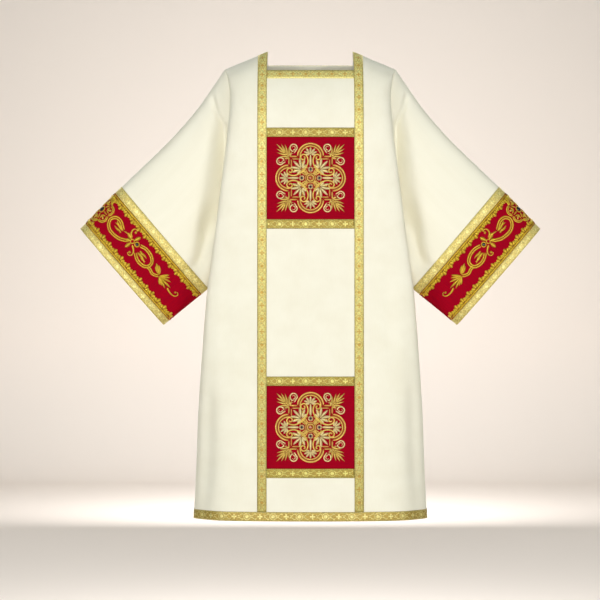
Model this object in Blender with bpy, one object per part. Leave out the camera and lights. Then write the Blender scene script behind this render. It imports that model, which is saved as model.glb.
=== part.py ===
"""A dalmatic, the wide-sleeved tunic of a deacon, worn and filled out but empty.

The cloth is one surface: a front and a back that meet at the shoulders and down the sides, and two wide
sleeves set into straight armholes. That surface is worked out from named sizes, cut along its seams into the
pieces that a maker cuts, and each piece gets its thickness. What is sewn on top, such as the gold galloons and
the red panels, is the same surface again, moved out.

The wearer faces -Y and the wearer's left arm points to +X. The origin lies between the shoulders at the neck,
where the shoulders hold the garment up. Sizes are in millimetres and are turned to metres at the end.
"""

import bisect
import math
from collections import namedtuple

import bmesh
import bpy
from mathutils import Vector

MM = 0.001

# Cloth
CLOTH_THICKNESS = 2.0
TRIM_THICKNESS = 1.2
SEAM_GAP = 0.3
TRIM_LIFT = 0.3

# Trims and panels, measured down from the shoulder line, or out from the middle
SQUARE_HALF_WIDTH = 115.5
GALLOON_WIDTH = 24.5
CLAVUS_OUTER = SQUARE_HALF_WIDTH + GALLOON_WIDTH
BACK_NECK_DROP = 20.0
FRONT_NECK_DROP = 44.0
NECK_GALLOON_END = 67.0
UPPER_BAR = 200.0
UPPER_SQUARE = 224.5
UPPER_SQUARE_END = 441.5
UPPER_BAR_END = 466.5
LOWER_BAR = 855.0
LOWER_SQUARE = 879.5
LOWER_SQUARE_END = 1096.5
LOWER_BAR_END = 1121.0
HEM_GALLOON = 1210.0
HEM = 1234.5

# Shoulders and armholes
SHOULDER_SLOPE = 0.42
SHOULDER_LEVEL_AT = 146.0
SHOULDER_EASE = 200.0
ARMHOLE_DEPTH = 577.0
SIDE_SEAM_Y = -5.0
ARMHOLE_HALF_FRONT = 60.0
ARMHOLE_HALF_BACK = 52.0
ARMHOLE_BOXINESS = 2.6
FOLD_TURN = 1.5
CHEST_ROUNDING = 200.0
BACK_ROUNDING = 165.0

# The body's outline at each level. half_width is out to the fold beside the armhole, front and back are how
# far the cloth stands out at the middle, front_fold and back_fold are how far it does at the fold, and tuck is
# how far the seam lies inside the fold.
Section = namedtuple("Section", "drop half_width front back front_fold back_fold tuck boxiness")
SECTIONS = [
    Section(0, 229.5, 128, 102, 0, 0, 0, 3.0),
    Section(44, 219.5, 130, 104, 56, 46, 0, 3.0),
    Section(110, 213.5, 133, 107, 76, 62, 8, 3.2),
    Section(215, 220.0, 137, 112, 94, 76, 28, 3.4),
    Section(335, 235.0, 141, 115, 102, 84, 36, 3.4),
    Section(480, 253.0, 144, 118, 106, 88, 36, 3.3),
    Section(627, 273.0, 147, 122, 100, 86, 27, 3.2),
    Section(788, 286.0, 152, 129, 84, 74, 14, 3.0),
    Section(950, 296.5, 158, 137, 64, 58, 4, 2.8),
    Section(1090, 301.5, 163, 144, 50, 46, 0, 2.7),
    Section(1234.5, 308.0, 168, 151, 42, 40, 0, 2.6),
]

# The long soft flutes that the cloth hangs in, from the level where each begins. across is the share of the way
# from the clavus to the side seam, and depth is how far the cloth stands in or out at the hem.
Flute = namedtuple("Flute", "across spread begins depth")
FLUTE_FADE = 0.11
FRONT_FLUTES = [Flute(0.30, 0.13, 620, 3.5), Flute(0.56, 0.10, 520, -5.0), Flute(0.74, 0.09, 480, 3.0)]
BACK_FLUTES = [Flute(0.18, 0.12, 380, -5.0), Flute(0.42, 0.12, 300, 6.0), Flute(0.68, 0.11, 420, -6.0)]

# The sleeve's top line, seen from the front, from the shoulder point to the cuff's edge.
Point = namedtuple("Point", "x z")
OVERARM = [
    Point(229.5, -35.0),
    Point(264.4, -86.0),
    Point(307.5, -146.5),
    Point(372.0, -220.0),
    Point(436.6, -283.5),
    Point(506.5, -350.0),
]
# Its lower line, from the underarm to the cuff band, which starts just clear of the body's side.
UNDERARM_END = Point(275.0, -622.0)
CUFF_TOP = Point(616.8, -463.0)
CUFF_BOTTOM = Point(395.0, -720.0)
CUFF_BAND_WIDTH = 157.0
INNER_GALLOON_WIDTH = 24.0
EDGE_GALLOON_WIDTH = 20.0
SLEEVE_HALF_FRONT = 56.0
SLEEVE_HALF_BACK = 52.0
CUFF_FLARE = 6.0
SLEEVE_BOXINESS = 2.7
SLEEVE_TAPER = 0.30
ARMHOLE_BLEND = 0.45
UNDERARM_SPREAD = 0.6

# Where the cloth's surface has its points
LEVELS = [0, BACK_NECK_DROP, FRONT_NECK_DROP, NECK_GALLOON_END, 110, 155]
LEVELS += [UPPER_BAR, UPPER_SQUARE, 280, 335, 390, UPPER_SQUARE_END, UPPER_BAR_END]
LEVELS += [512, 545, 567, ARMHOLE_DEPTH, 620, 680, 765]
LEVELS += [LOWER_BAR, LOWER_SQUARE, 950, 1023, LOWER_SQUARE_END, LOWER_BAR_END, 1165, HEM_GALLOON, HEM]
MIDDLE_STATIONS = [0, SQUARE_HALF_WIDTH / 2, SQUARE_HALF_WIDTH, CLAVUS_OUTER]
SIDE_SHARES = [0.18, 0.35, 0.49, 0.61, 0.71, 0.8, 0.9, 1.0]
FOLD_SHARE = 0.8
SLEEVE_SHARES = [0, 0.07, 0.2, 0.42, 0.7, 1.0]
BAND_CELLS = 2
SECTION_SAMPLES = 60

FRONT, BACK = -1, 1
LEFT, RIGHT = 1, -1
SIDE_NAMES = {LEFT: "left", RIGHT: "right"}
ALL = range(1000)


def ease(x):
    """Zero to one with a soft start and end."""
    x = min(1.0, max(0.0, x))
    return x * x * (3 - 2 * x)


def smooth_curve(keys, values):
    """A curve through the values with no corners: a cubic between each two, with slopes from their neighbours."""
    count = len(keys)
    slopes = []
    for i in range(count):
        low, high = max(0, i - 1), min(count - 1, i + 1)
        slopes.append((values[high] - values[low]) / (keys[high] - keys[low]))

    def at(key):
        i = min(count - 2, max(0, bisect.bisect_right(keys, key) - 1))
        width = keys[i + 1] - keys[i]
        t = min(1.0, max(0.0, (key - keys[i]) / width))
        rise = values[i + 1] - values[i]
        start, end = slopes[i] * width, slopes[i + 1] * width
        return values[i] + t * start + t * t * (3 * rise - 2 * start - end) + t**3 * (start + end - 2 * rise)

    return at


DROPS = [s.drop for s in SECTIONS]
SECTION_AT = {name: smooth_curve(DROPS, [getattr(s, name) for s in SECTIONS]) for name in Section._fields}


def quarter_round(drop, height):
    """How far the cloth has come out over the shoulder, as a share, at a level."""
    left = 1 - min(drop, height) / height
    return math.sqrt(1 - left * left)


def fold_and_seam(drop, face):
    """How far the fold beside the armhole and the seam behind it stand out from the middle plane."""
    middle = face * SIDE_SEAM_Y * min(1.0, drop / ARMHOLE_DEPTH)
    half = ARMHOLE_HALF_FRONT if face == FRONT else ARMHOLE_HALF_BACK
    share = min(1.0, drop / ARMHOLE_DEPTH)
    seam = middle + half * (1 - abs(2 * share - 1) ** ARMHOLE_BOXINESS) ** (1 / ARMHOLE_BOXINESS)
    fold = max(seam, SECTION_AT["front_fold" if face == FRONT else "back_fold"](drop))
    return fold, seam, middle


def side_x(drop, face, out):
    """The side's x at a level, where the cloth turns in behind the fold. out is how far y is from the middle."""
    fold, _, middle = fold_and_seam(drop, face)
    turn = max(0.0, fold - out) / max(1.0, fold - middle)
    return SECTION_AT["half_width"](drop) - SECTION_AT["tuck"](drop) * turn**FOLD_TURN


def section_lines(drop, face):
    """Points of the half section at a level, from the middle out to the fold, and from there in to the seam."""
    width = SECTION_AT["half_width"](drop)
    boxiness = SECTION_AT["boxiness"](drop)
    fold, seam, _ = fold_and_seam(drop, face)
    if face == FRONT:
        depth = SECTION_AT["front"](drop) * quarter_round(drop, CHEST_ROUNDING)
    else:
        depth = SECTION_AT["back"](drop) * quarter_round(drop, BACK_ROUNDING)
    depth = max(depth, fold)
    to_fold, to_seam = [], []
    for i in range(SECTION_SAMPLES + 1):
        angle = math.pi / 2 * i / SECTION_SAMPLES
        x = width * math.sin(angle) ** (2 / boxiness)
        y = fold + (depth - fold) * math.cos(angle) ** (2 / boxiness)
        to_fold.append((x, face * y))
        out = fold + (seam - fold) * i / SECTION_SAMPLES
        to_seam.append((side_x(drop, face, out), face * out))
    return to_fold, to_seam


def along(line, far):
    """The point on a line of points, that far along it."""
    for (x0, y0), (x1, y1) in zip(line, line[1:]):
        step = math.hypot(x1 - x0, y1 - y0)
        if far <= step:
            t = far / step if step else 0.0
            return x0 + (x1 - x0) * t, y0 + (y1 - y0) * t
        far -= step
    return line[-1]


def length(line):
    return sum(math.hypot(x1 - x0, y1 - y0) for (x0, y0), (x1, y1) in zip(line, line[1:]))


def cut_at(line, x):
    """The part of a section line that lies beyond x, starting on it."""
    for i, ((x0, y0), (x1, y1)) in enumerate(zip(line, line[1:])):
        if x0 <= x <= x1:
            t = (x - x0) / max(x1 - x0, 1e-9)
            return [(x, y0 + (y1 - y0) * t)] + line[i + 1 :]
    return line[-1:]


def flute_depth(face, share, drop):
    """How far the hanging cloth stands out in its flutes."""
    total = 0.0
    for flute in FRONT_FLUTES if face == FRONT else BACK_FLUTES:
        down = ease((drop - flute.begins) / (HEM - flute.begins))
        total += flute.depth * down * math.exp(-(((share - flute.across) / flute.spread) ** 2))
    return total * ease((1 - share) / FLUTE_FADE) * ease(share / FLUTE_FADE)


def shoulder_fall(face, x, drop):
    """How far a level bends from flat near the shoulder, which slopes down from the neck."""
    neck = FRONT_NECK_DROP if face == FRONT else BACK_NECK_DROP
    beyond = ease((x - CLAVUS_OUTER) / (SECTIONS[0].half_width - CLAVUS_OUTER))
    eased_over = neck + (SHOULDER_EASE - neck) * beyond
    left = max(0.0, 1 - drop / eased_over)
    return -SHOULDER_SLOPE * (x - SHOULDER_LEVEL_AT) * left * left


def body_point(face, across, drop):
    """A point of the front or back. across is 0 at the middle, 1 at the clavus's outer edge and 2 at the seam."""
    side = -1 if across < 0 else 1
    across = abs(across)
    to_fold, to_seam = section_lines(drop, face)
    share = across - 1
    if across <= 1:
        x, y = cut_at(to_fold, across * CLAVUS_OUTER)[0]
    else:
        if share <= FOLD_SHARE:
            outer = cut_at(to_fold, CLAVUS_OUTER)
            x, y = along(outer, share / FOLD_SHARE * length(outer))
        else:
            x, y = along(to_seam, (share - FOLD_SHARE) / (1 - FOLD_SHARE) * length(to_seam))
        out = flute_depth(face, share, drop)
        turn = math.atan2(x - CLAVUS_OUTER, abs(y))
        x += out * math.sin(turn)
        y += face * out * math.cos(turn)
    z = -drop + (shoulder_fall(face, x, drop) if x >= SQUARE_HALF_WIDTH - 1 else 0.0)
    return Vector((side * x, y, z))


def polyline_point(points, share):
    """A point on a smooth line through some points, at a share of its length."""
    at = [0.0]
    for a, b in zip(points, points[1:]):
        at.append(at[-1] + math.hypot(b.x - a.x, b.z - a.z))
    far = share * at[-1]
    x = smooth_curve(at, [p.x for p in points])
    z = smooth_curve(at, [p.z for p in points])
    return Point(x(far), z(far))


def sleeve_lines(share, band):
    """The sleeve's top and lower point. share runs from the armhole to the cuff band, band across the band."""
    if band <= 0:
        start, end = Point(side_x(ARMHOLE_DEPTH, FRONT, -SIDE_SEAM_Y), -ARMHOLE_DEPTH), UNDERARM_END
        low = share**UNDERARM_SPREAD
        bottom = Point(start.x + (end.x - start.x) * low, start.z + (end.z - start.z) * low)
        return polyline_point(OVERARM, share), bottom
    t = band / CUFF_BAND_WIDTH
    top, low = OVERARM[-1], UNDERARM_END
    return (
        Point(top.x + (CUFF_TOP.x - top.x) * t, top.z + (CUFF_TOP.z - top.z) * t),
        Point(low.x + (CUFF_BOTTOM.x - low.x) * t, low.z + (CUFF_BOTTOM.z - low.z) * t),
    )


def sleeve_section(face, down, share, band):
    """The flat tube that the sleeve would be with no armhole to meet. down is the share of its depth."""
    top, bottom = sleeve_lines(share, band)
    angle = math.acos(1 - 2 * down)
    half = SLEEVE_HALF_FRONT if face == FRONT else SLEEVE_HALF_BACK
    half += CUFF_FLARE * band / CUFF_BAND_WIDTH
    y = face * half * math.sin(angle) ** (2 / SLEEVE_BOXINESS) * (1 - SLEEVE_TAPER * down)
    y += SIDE_SEAM_Y * down * (1 - share)
    return Vector((top.x + (bottom.x - top.x) * down, y, top.z + (bottom.z - top.z) * down))


def sleeve_point(side, face, drop, share, band=0.0):
    """A point of a sleeve, on the line that starts at the armhole's point at that level."""
    down = min(1.0, drop / ARMHOLE_DEPTH)
    point = sleeve_section(face, down, share, band)
    seam = body_point(face, 2, min(drop, ARMHOLE_DEPTH))
    left = 1 - ease(share / ARMHOLE_BLEND)
    if left > 0:
        point += (seam - sleeve_section(face, down, 0.0, 0.0)) * left
    return Vector((side * point.x, point.y, point.z))


def stations():
    """Where the body's columns of points lie, from one seam to the other."""
    half = [x / CLAVUS_OUTER for x in MIDDLE_STATIONS] + [1 + s for s in SIDE_SHARES]
    return [-s for s in reversed(half[1:])] + half


def sleeve_places():
    """Where the sleeve's rings of points lie, as the share of the sleeve and the distance across the band."""
    red_end = CUFF_BAND_WIDTH - EDGE_GALLOON_WIDTH
    step = (red_end - INNER_GALLOON_WIDTH) / BAND_CELLS
    band = [INNER_GALLOON_WIDTH + step * i for i in range(BAND_CELLS + 1)] + [CUFF_BAND_WIDTH]
    return [(s, 0.0) for s in SLEEVE_SHARES] + [(1.0, b) for b in band]


def add_patch(garment, patch, columns, rows, place):
    """Adds a grid of cloth to the garment. Each face remembers its patch and its cell in the grid."""
    part = bmesh.new()
    marks = [part.faces.layers.int.new(name) for name in ("patch", "column", "row")]
    bmesh.ops.create_grid(part, x_segments=columns, y_segments=rows, size=0.5)
    for face in part.faces:
        middle = face.calc_center_median()
        face[marks[0]] = patch
        face[marks[1]] = int((middle.x + 0.5) * columns)
        face[marks[2]] = int((middle.y + 0.5) * rows)
    for vert in part.verts:
        vert.co = place(round((vert.co.x + 0.5) * columns), round((vert.co.y + 0.5) * rows))
    mesh = bpy.data.meshes.new("patch")
    part.to_mesh(mesh)
    part.free()
    garment.from_mesh(mesh)
    bpy.data.meshes.remove(mesh)


PATCH_FRONT, PATCH_BACK, PATCH_SLEEVE_LEFT, PATCH_SLEEVE_RIGHT = range(4)


def build_garment():
    """The whole outer surface, with its faces split into triangles once, so that every piece shares them."""
    garment = bmesh.new()
    for name in ("patch", "column", "row"):
        garment.faces.layers.int.new(name)
    columns = stations()
    places = sleeve_places()
    armhole_rows = LEVELS.index(ARMHOLE_DEPTH)
    last = len(columns) - 1

    def front(i, j):
        return body_point(FRONT, columns[i], LEVELS[j])

    def back(i, j):
        return body_point(BACK, columns[last - i], LEVELS[j])

    def left(i, j):
        face = FRONT if i <= armhole_rows else BACK
        level = LEVELS[i if face == FRONT else 2 * armhole_rows - i]
        return sleeve_point(LEFT, face, level, *places[j])

    def right(i, j):
        return Vector((-1, 1, 1)) * left(2 * armhole_rows - i, j)

    add_patch(garment, PATCH_FRONT, last, len(LEVELS) - 1, front)
    add_patch(garment, PATCH_BACK, last, len(LEVELS) - 1, back)
    add_patch(garment, PATCH_SLEEVE_LEFT, 2 * armhole_rows, len(places) - 1, left)
    add_patch(garment, PATCH_SLEEVE_RIGHT, 2 * armhole_rows, len(places) - 1, right)
    bmesh.ops.delete(garment, geom=[f for f in garment.faces if in_neck(garment, f)], context="FACES")
    bmesh.ops.remove_doubles(garment, verts=garment.verts, dist=0.01)
    bmesh.ops.recalc_face_normals(garment, faces=garment.faces)
    bmesh.ops.triangulate(garment, faces=garment.faces)
    garment.normal_update()
    outward = garment.verts.layers.float_vector.new("outward")
    order = garment.verts.layers.int.new("order")
    for number, vert in enumerate(garment.verts):
        vert[outward] = vert.normal
        vert[order] = number
    return garment


def in_neck(garment, face):
    """Whether a face of the grid lies in the square neck opening."""
    patch, column, row = (face[garment.faces.layers.int[name]] for name in ("patch", "column", "row"))
    neck_rows = LEVELS.index(FRONT_NECK_DROP if patch == PATCH_FRONT else BACK_NECK_DROP)
    return patch in (PATCH_FRONT, PATCH_BACK) and column in between_clavi() and row < neck_rows


def between_clavi():
    """The columns between the two clavus galloons."""
    middle, cells = len(stations()) // 2, MIDDLE_STATIONS.index(SQUARE_HALF_WIDTH)
    return range(middle - cells, middle + cells)


def under_clavus(patch, side):
    """The column under a clavus galloon. The back's columns run the other way."""
    inner = between_clavi()
    beyond = side if patch == PATCH_FRONT else -side
    return range(inner.stop, inner.stop + 1) if beyond > 0 else range(inner.start - 1, inner.start)


def rows(start, end):
    return range(LEVELS.index(start), LEVELS.index(end))


def every(patch):
    """All the cells of a patch."""
    return patch, ALL, ALL


def seam_shift(vert):
    """How far a point on a piece's edge moves into the piece, to leave half a seam gap on every edge."""
    inward = []
    for edge in vert.link_edges:
        if len(edge.link_faces) == 1:
            face = edge.link_faces[0]
            run = (edge.verts[1].co - edge.verts[0].co).normalized()
            across = run.cross(face.normal)
            if across.dot(face.calc_center_median() - edge.verts[0].co) < 0:
                across.negate()
            inward.append(across.normalized())
    if len(inward) != 2:
        return Vector()
    return (inward[0] + inward[1]) * (SEAM_GAP / 2 / (1 + inward[0].dot(inward[1])))


def split_edge_walls(piece, outer_side):
    """Splits the quads of a piece's cut edges the same way as its neighbour's, so that they can't cross."""
    order = piece.verts.layers.int["order"]
    for wall in [face for face in piece.faces if len(face.verts) == 4]:
        outer = [vert for vert in wall.verts if vert in outer_side]
        inner = [vert for vert in wall.verts if vert not in outer_side]
        start = min(outer, key=lambda vert: vert[order])
        end = max(inner, key=lambda vert: vert[order])
        bmesh.utils.face_split(wall, start, end)


def make_piece(garment, name, cells, lift, thickness, material, collection):
    """Cuts the named cells out of the garment's surface and gives them their thickness."""
    piece = garment.copy()
    marks = [piece.faces.layers.int[mark] for mark in ("patch", "column", "row")]

    def kept(face):
        patch, column, row = (face[mark] for mark in marks)
        return any(patch == p and column in c and row in r for p, c, r in cells)

    bmesh.ops.delete(piece, geom=[f for f in piece.faces if not kept(f)], context="FACES")
    shifts = [(vert, seam_shift(vert)) for vert in piece.verts]
    for vert, shift in shifts:
        vert.co += shift
    outward = piece.verts.layers.float_vector["outward"]
    inner_side = piece.verts[:]
    extruded = bmesh.ops.extrude_face_region(piece, geom=piece.faces[:], use_keep_orig=True)
    outer_side = [vert for vert in extruded["geom"] if isinstance(vert, bmesh.types.BMVert)]
    for vert in outer_side:
        vert.co += vert[outward] * (lift + thickness)
    for vert in inner_side:
        vert.co += vert[outward] * lift
    split_edge_walls(piece, set(outer_side))
    bmesh.ops.scale(piece, vec=(MM, MM, MM), verts=piece.verts)
    bmesh.ops.recalc_face_normals(piece, faces=piece.faces)
    mesh = bpy.data.meshes.new(name)
    piece.to_mesh(mesh)
    piece.free()
    mesh.materials.append(material)
    collection.objects.link(bpy.data.objects.new(name, mesh))


def make_material(name, color, roughness, metallic=0.0):
    material = bpy.data.materials.new(name)
    material.use_nodes = True
    shader = material.node_tree.nodes["Principled BSDF"]
    shader.inputs["Base Color"].default_value = (*color, 1.0)
    shader.inputs["Roughness"].default_value = roughness
    shader.inputs["Metallic"].default_value = metallic
    return material


def main():
    for obj in list(bpy.data.objects):
        bpy.data.objects.remove(obj)
    collection = bpy.data.collections.new("dalmatic")
    bpy.context.scene.collection.children.link(collection)
    cream = make_material("cream_cloth", (0.93, 0.90, 0.74), 0.8)
    gold = make_material("gold_galloon", (0.75, 0.58, 0.21), 0.45, 0.4)
    red = make_material("red_cloth", (0.40, 0.01, 0.02), 0.75)
    garment = build_garment()

    def cloth(name, cells):
        make_piece(garment, name, cells, -CLOTH_THICKNESS, CLOTH_THICKNESS, cream, collection)

    def trim(name, cells, material):
        make_piece(garment, name, cells, TRIM_LIFT, TRIM_THICKNESS, material, collection)

    cloth("front", [every(PATCH_FRONT)])
    cloth("back", [every(PATCH_BACK)])
    for side, sleeve in ((LEFT, PATCH_SLEEVE_LEFT), (RIGHT, PATCH_SLEEVE_RIGHT)):
        hand = SIDE_NAMES[side]
        first = len(SLEEVE_SHARES) - 1
        cloth(f"sleeve_{hand}", [every(sleeve)])
        trim(f"cuff_galloon_inner_{hand}", [(sleeve, ALL, range(first, first + 1))], gold)
        red_rows = range(first + 1, first + 1 + BAND_CELLS)
        trim(f"cuff_band_{hand}", [(sleeve, ALL, red_rows)], red)
        trim(f"cuff_galloon_edge_{hand}", [(sleeve, ALL, range(red_rows.stop, ALL.stop))], gold)
        strip = [(patch, under_clavus(patch, side), rows(0, HEM_GALLOON)) for patch in (PATCH_FRONT, PATCH_BACK)]
        trim(f"clavus_galloon_{hand}", strip, gold)
    for patch, face in ((PATCH_FRONT, "front"), (PATCH_BACK, "back")):
        middle = between_clavi()
        neck = (FRONT_NECK_DROP, NECK_GALLOON_END) if patch == PATCH_FRONT else (BACK_NECK_DROP, FRONT_NECK_DROP)
        trim(f"neck_galloon_{face}", [(patch, middle, rows(*neck))], gold)
        bars = [
            (UPPER_BAR, UPPER_SQUARE),
            (UPPER_SQUARE_END, UPPER_BAR_END),
            (LOWER_BAR, LOWER_SQUARE),
            (LOWER_SQUARE_END, LOWER_BAR_END),
        ]
        for number, bar in enumerate(bars, 1):
            trim(f"bar_galloon_{face}_{number}", [(patch, middle, rows(*bar))], gold)
        trim(f"square_{face}_upper", [(patch, middle, rows(UPPER_SQUARE, UPPER_SQUARE_END))], red)
        trim(f"square_{face}_lower", [(patch, middle, rows(LOWER_SQUARE, LOWER_SQUARE_END))], red)
    hem = [(patch, ALL, rows(HEM_GALLOON, HEM)) for patch in (PATCH_FRONT, PATCH_BACK)]
    trim("hem_galloon", hem, gold)
    garment.free()


main()
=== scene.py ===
"""The looks of a dalmatic, the wide-sleeved tunic of a deacon: cream cloth, gold galloons, red panels.

The garment is worn and filled out but empty. The wearer faces -Y and the wearer's left arm points to +X.
The cloth is one surface, worked out here in millimetres from the same named sizes as its solids, but for
the folds beside the shoulders, which stand out up to 8 mm less. Everything sewn on it, from galloon to
bead, is placed on that surface.
"""

import bisect
import math
from collections import namedtuple
from functools import lru_cache

import bmesh
import bpy
import numpy as np
from bpy.props import FloatProperty, FloatVectorProperty, PointerProperty
from mathutils import Matrix, Vector


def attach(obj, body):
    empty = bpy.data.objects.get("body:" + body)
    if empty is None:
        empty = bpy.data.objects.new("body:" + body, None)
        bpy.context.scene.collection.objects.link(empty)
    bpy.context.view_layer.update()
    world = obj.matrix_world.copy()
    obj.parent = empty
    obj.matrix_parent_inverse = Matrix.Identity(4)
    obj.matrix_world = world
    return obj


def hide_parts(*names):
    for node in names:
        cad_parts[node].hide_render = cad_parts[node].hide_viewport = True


bl_info = {
    "name": "Dalmatic",
    "version": (1, 0, 0),
    "blender": (4, 5, 0),
    "location": "3D View > Sidebar > Dalmatic",
    "description": "Builds a deacon's dalmatic with galloons and embroidered panels around its solids",
    "category": "Add Mesh",
}

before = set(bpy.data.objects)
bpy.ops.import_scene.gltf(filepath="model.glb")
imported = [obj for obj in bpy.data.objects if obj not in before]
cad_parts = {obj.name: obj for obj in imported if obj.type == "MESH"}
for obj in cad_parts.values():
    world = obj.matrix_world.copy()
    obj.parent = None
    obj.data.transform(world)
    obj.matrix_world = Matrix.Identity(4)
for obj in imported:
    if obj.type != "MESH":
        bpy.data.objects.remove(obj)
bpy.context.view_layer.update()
MM = 0.001

# Cloth
CLOTH_THICKNESS = 2.0
TRIM_THICKNESS = 1.1
TRIM_LIFT = 0.4
GRAIN_STEP = 6.0

# Trims and panels, measured down from the shoulder line, or out from the middle
SQUARE_HALF_WIDTH = 115.5
CLAVUS_OUTER = 140.0
BACK_NECK_DROP = 20.0
FRONT_NECK_DROP = 44.0
NECK_GALLOON_END = 67.0
NECKS = {"front": (FRONT_NECK_DROP, NECK_GALLOON_END), "back": (BACK_NECK_DROP, FRONT_NECK_DROP)}
BARS = [(200.0, 224.5), (441.5, 466.5), (855.0, 879.5), (1096.5, 1121.0)]
SQUARES = {"upper": (224.5, 441.5), "lower": (879.5, 1096.5)}
HEM_GALLOON = 1210.0
HEM = 1234.5
# Columns of the body are counted in shares of the way out to the clavus's outer edge
CLAVUS_INNER = SQUARE_HALF_WIDTH / CLAVUS_OUTER
COLUMN_STEP = GRAIN_STEP / CLAVUS_OUTER
CLAVUS_STEP = 0.044

# Shoulders and armholes
SHOULDER_SLOPE = 0.42
SHOULDER_LEVEL_AT = 146.0
SHOULDER_EASE = 200.0
ARMHOLE_DEPTH = 577.0
SIDE_SEAM_Y = -5.0
ARMHOLE_HALF_FRONT = 60.0
ARMHOLE_HALF_BACK = 52.0
ARMHOLE_BOXINESS = 2.6
FOLD_TURN = 1.5
CHEST_ROUNDING = 200.0
BACK_ROUNDING = 165.0
FOLD_SHARE = 0.8

# The body's outline at each level: out to the fold beside the armhole, how far the cloth stands out at the
# middle and at the fold, and how far the seam lies inside the fold
Section = namedtuple("Section", "drop half_width front back front_fold back_fold tuck boxiness")
SECTIONS = [
    Section(0, 229.5, 128, 102, 0, 0, 0, 3.0),
    Section(44, 219.5, 130, 104, 50, 44, 0, 3.0),
    Section(110, 213.5, 133, 107, 68, 58, 8, 3.2),
    Section(215, 220.0, 137, 112, 94, 76, 28, 3.4),
    Section(335, 235.0, 141, 115, 102, 84, 36, 3.4),
    Section(480, 253.0, 144, 118, 106, 88, 36, 3.3),
    Section(627, 273.0, 147, 122, 100, 86, 27, 3.2),
    Section(788, 286.0, 152, 129, 84, 74, 14, 3.0),
    Section(950, 296.5, 158, 137, 64, 58, 4, 2.8),
    Section(1090, 301.5, 163, 144, 50, 46, 0, 2.7),
    Section(1234.5, 308.0, 168, 151, 42, 40, 0, 2.6),
]

# The long soft flutes that the cloth hangs in: where each lies from clavus to side seam, and how deep it is
Flute = namedtuple("Flute", "across spread begins depth")
FLUTE_FADE = 0.11
FRONT_FLUTES = [Flute(0.30, 0.13, 620, 3.5), Flute(0.56, 0.10, 520, -5.0), Flute(0.74, 0.09, 480, 3.0)]
BACK_FLUTES = [Flute(0.18, 0.12, 380, -5.0), Flute(0.42, 0.12, 300, 6.0), Flute(0.68, 0.11, 420, -6.0)]

# The sleeve's top line from the shoulder point to the cuff band, and its lower line
Point = namedtuple("Point", "x z")
OVERARM = [
    Point(229.5, -35.0),
    Point(264.4, -86.0),
    Point(307.5, -146.5),
    Point(372.0, -220.0),
    Point(436.6, -283.5),
    Point(506.5, -350.0),
]
UNDERARM_END = Point(275.0, -622.0)
CUFF_TOP = Point(616.8, -463.0)
CUFF_BOTTOM = Point(395.0, -720.0)
CUFF_BAND_WIDTH = 157.0
INNER_GALLOON_WIDTH = 24.0
EDGE_GALLOON_WIDTH = 20.0
RED_END = CUFF_BAND_WIDTH - EDGE_GALLOON_WIDTH
SLEEVE_HALF_FRONT = 56.0
SLEEVE_HALF_BACK = 52.0
CUFF_FLARE = 6.0
SLEEVE_BOXINESS = 2.7
SLEEVE_TAPER = 0.30
ARMHOLE_BLEND = 0.45
UNDERARM_SPREAD = 0.6
SECTION_SAMPLES = 60

# Creases, as soft troughs and ridges along a line seen from the front, x out from the middle and z up.
# reach is how far each spreads to its sides and depth how far the cloth stands in or out.
Crease = namedtuple("Crease", "x z to_x to_z bow reach depth")
SLEEVE_CREASES = {
    "left": [
        Crease(259, -98, 224, -204, -4, 7, -7.0),
        Crease(250, -92, 220, -180, -4, 10, 3.0),
        Crease(222, -160, 262, -500, 10, 27, -42.0),
        Crease(258, -370, 298, -578, 3, 17, -15.0),
        Crease(278, -520, 352, -584, 6, 12, -4.0),
        Crease(352, -640, 398, -600, 4, 9, 2.5),
    ],
    "right": [
        Crease(263, -102, 226, -206, -5, 7, -7.5),
        Crease(254, -96, 222, -186, -4, 10, 3.0),
        Crease(223, -166, 265, -506, 9, 28, -42.0),
        Crease(260, -380, 301, -583, 3, 18, -14.5),
        Crease(284, -530, 356, -590, 7, 11, -4.0),
        Crease(348, -634, 402, -604, 3, 10, 2.5),
    ],
}
BODY_CREASES = {
    "left": [
        Crease(272, -860, 279, -1160, 4, 17, -4.0),
        Crease(208, -540, 216, -830, 4, 20, -2.2),
        Crease(180, -960, 190, -1235, 3, 22, 2.4),
    ],
    "right": [
        Crease(269, -880, 274, -1185, 3, 18, -4.4),
        Crease(214, -600, 222, -860, -4, 19, -2.4),
        Crease(186, -900, 182, -1200, 4, 24, 2.2),
    ],
}
# How far from the sleeve's first row its creases have come to their depth, and how their ends fade
CREASE_START = 0.12
CREASE_CORE = 0.3
CREASE_END_FADE = 0.16

FRONT, BACK = -1, 1
SIDES = {"left": 1, "right": -1}


def ease(x):
    """Zero to one with a soft start and end."""
    x = min(1.0, max(0.0, x))
    return x * x * (3 - 2 * x)


def smooth_curve(keys, values):
    """A curve through the values with no corners: a cubic between each two, with their neighbours' slopes."""
    count = len(keys)
    slopes = []
    for i in range(count):
        low, high = max(0, i - 1), min(count - 1, i + 1)
        slopes.append((values[high] - values[low]) / (keys[high] - keys[low]))

    def at(key):
        i = min(count - 2, max(0, bisect.bisect_right(keys, key) - 1))
        width = keys[i + 1] - keys[i]
        t = min(1.0, max(0.0, (key - keys[i]) / width))
        rise = values[i + 1] - values[i]
        start, end = slopes[i] * width, slopes[i + 1] * width
        square, cube = 3 * rise - 2 * start - end, start + end - 2 * rise
        return values[i] + t * start + t * t * square + t**3 * cube

    return at


DROPS = [s.drop for s in SECTIONS]
SECTION_AT = {name: smooth_curve(DROPS, [getattr(s, name) for s in SECTIONS]) for name in Section._fields}


def quarter_round(drop, height):
    """How far the cloth has come out over the shoulder, as a share, at a level."""
    left = 1 - min(drop, height) / height
    return math.sqrt(1 - left * left)


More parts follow.
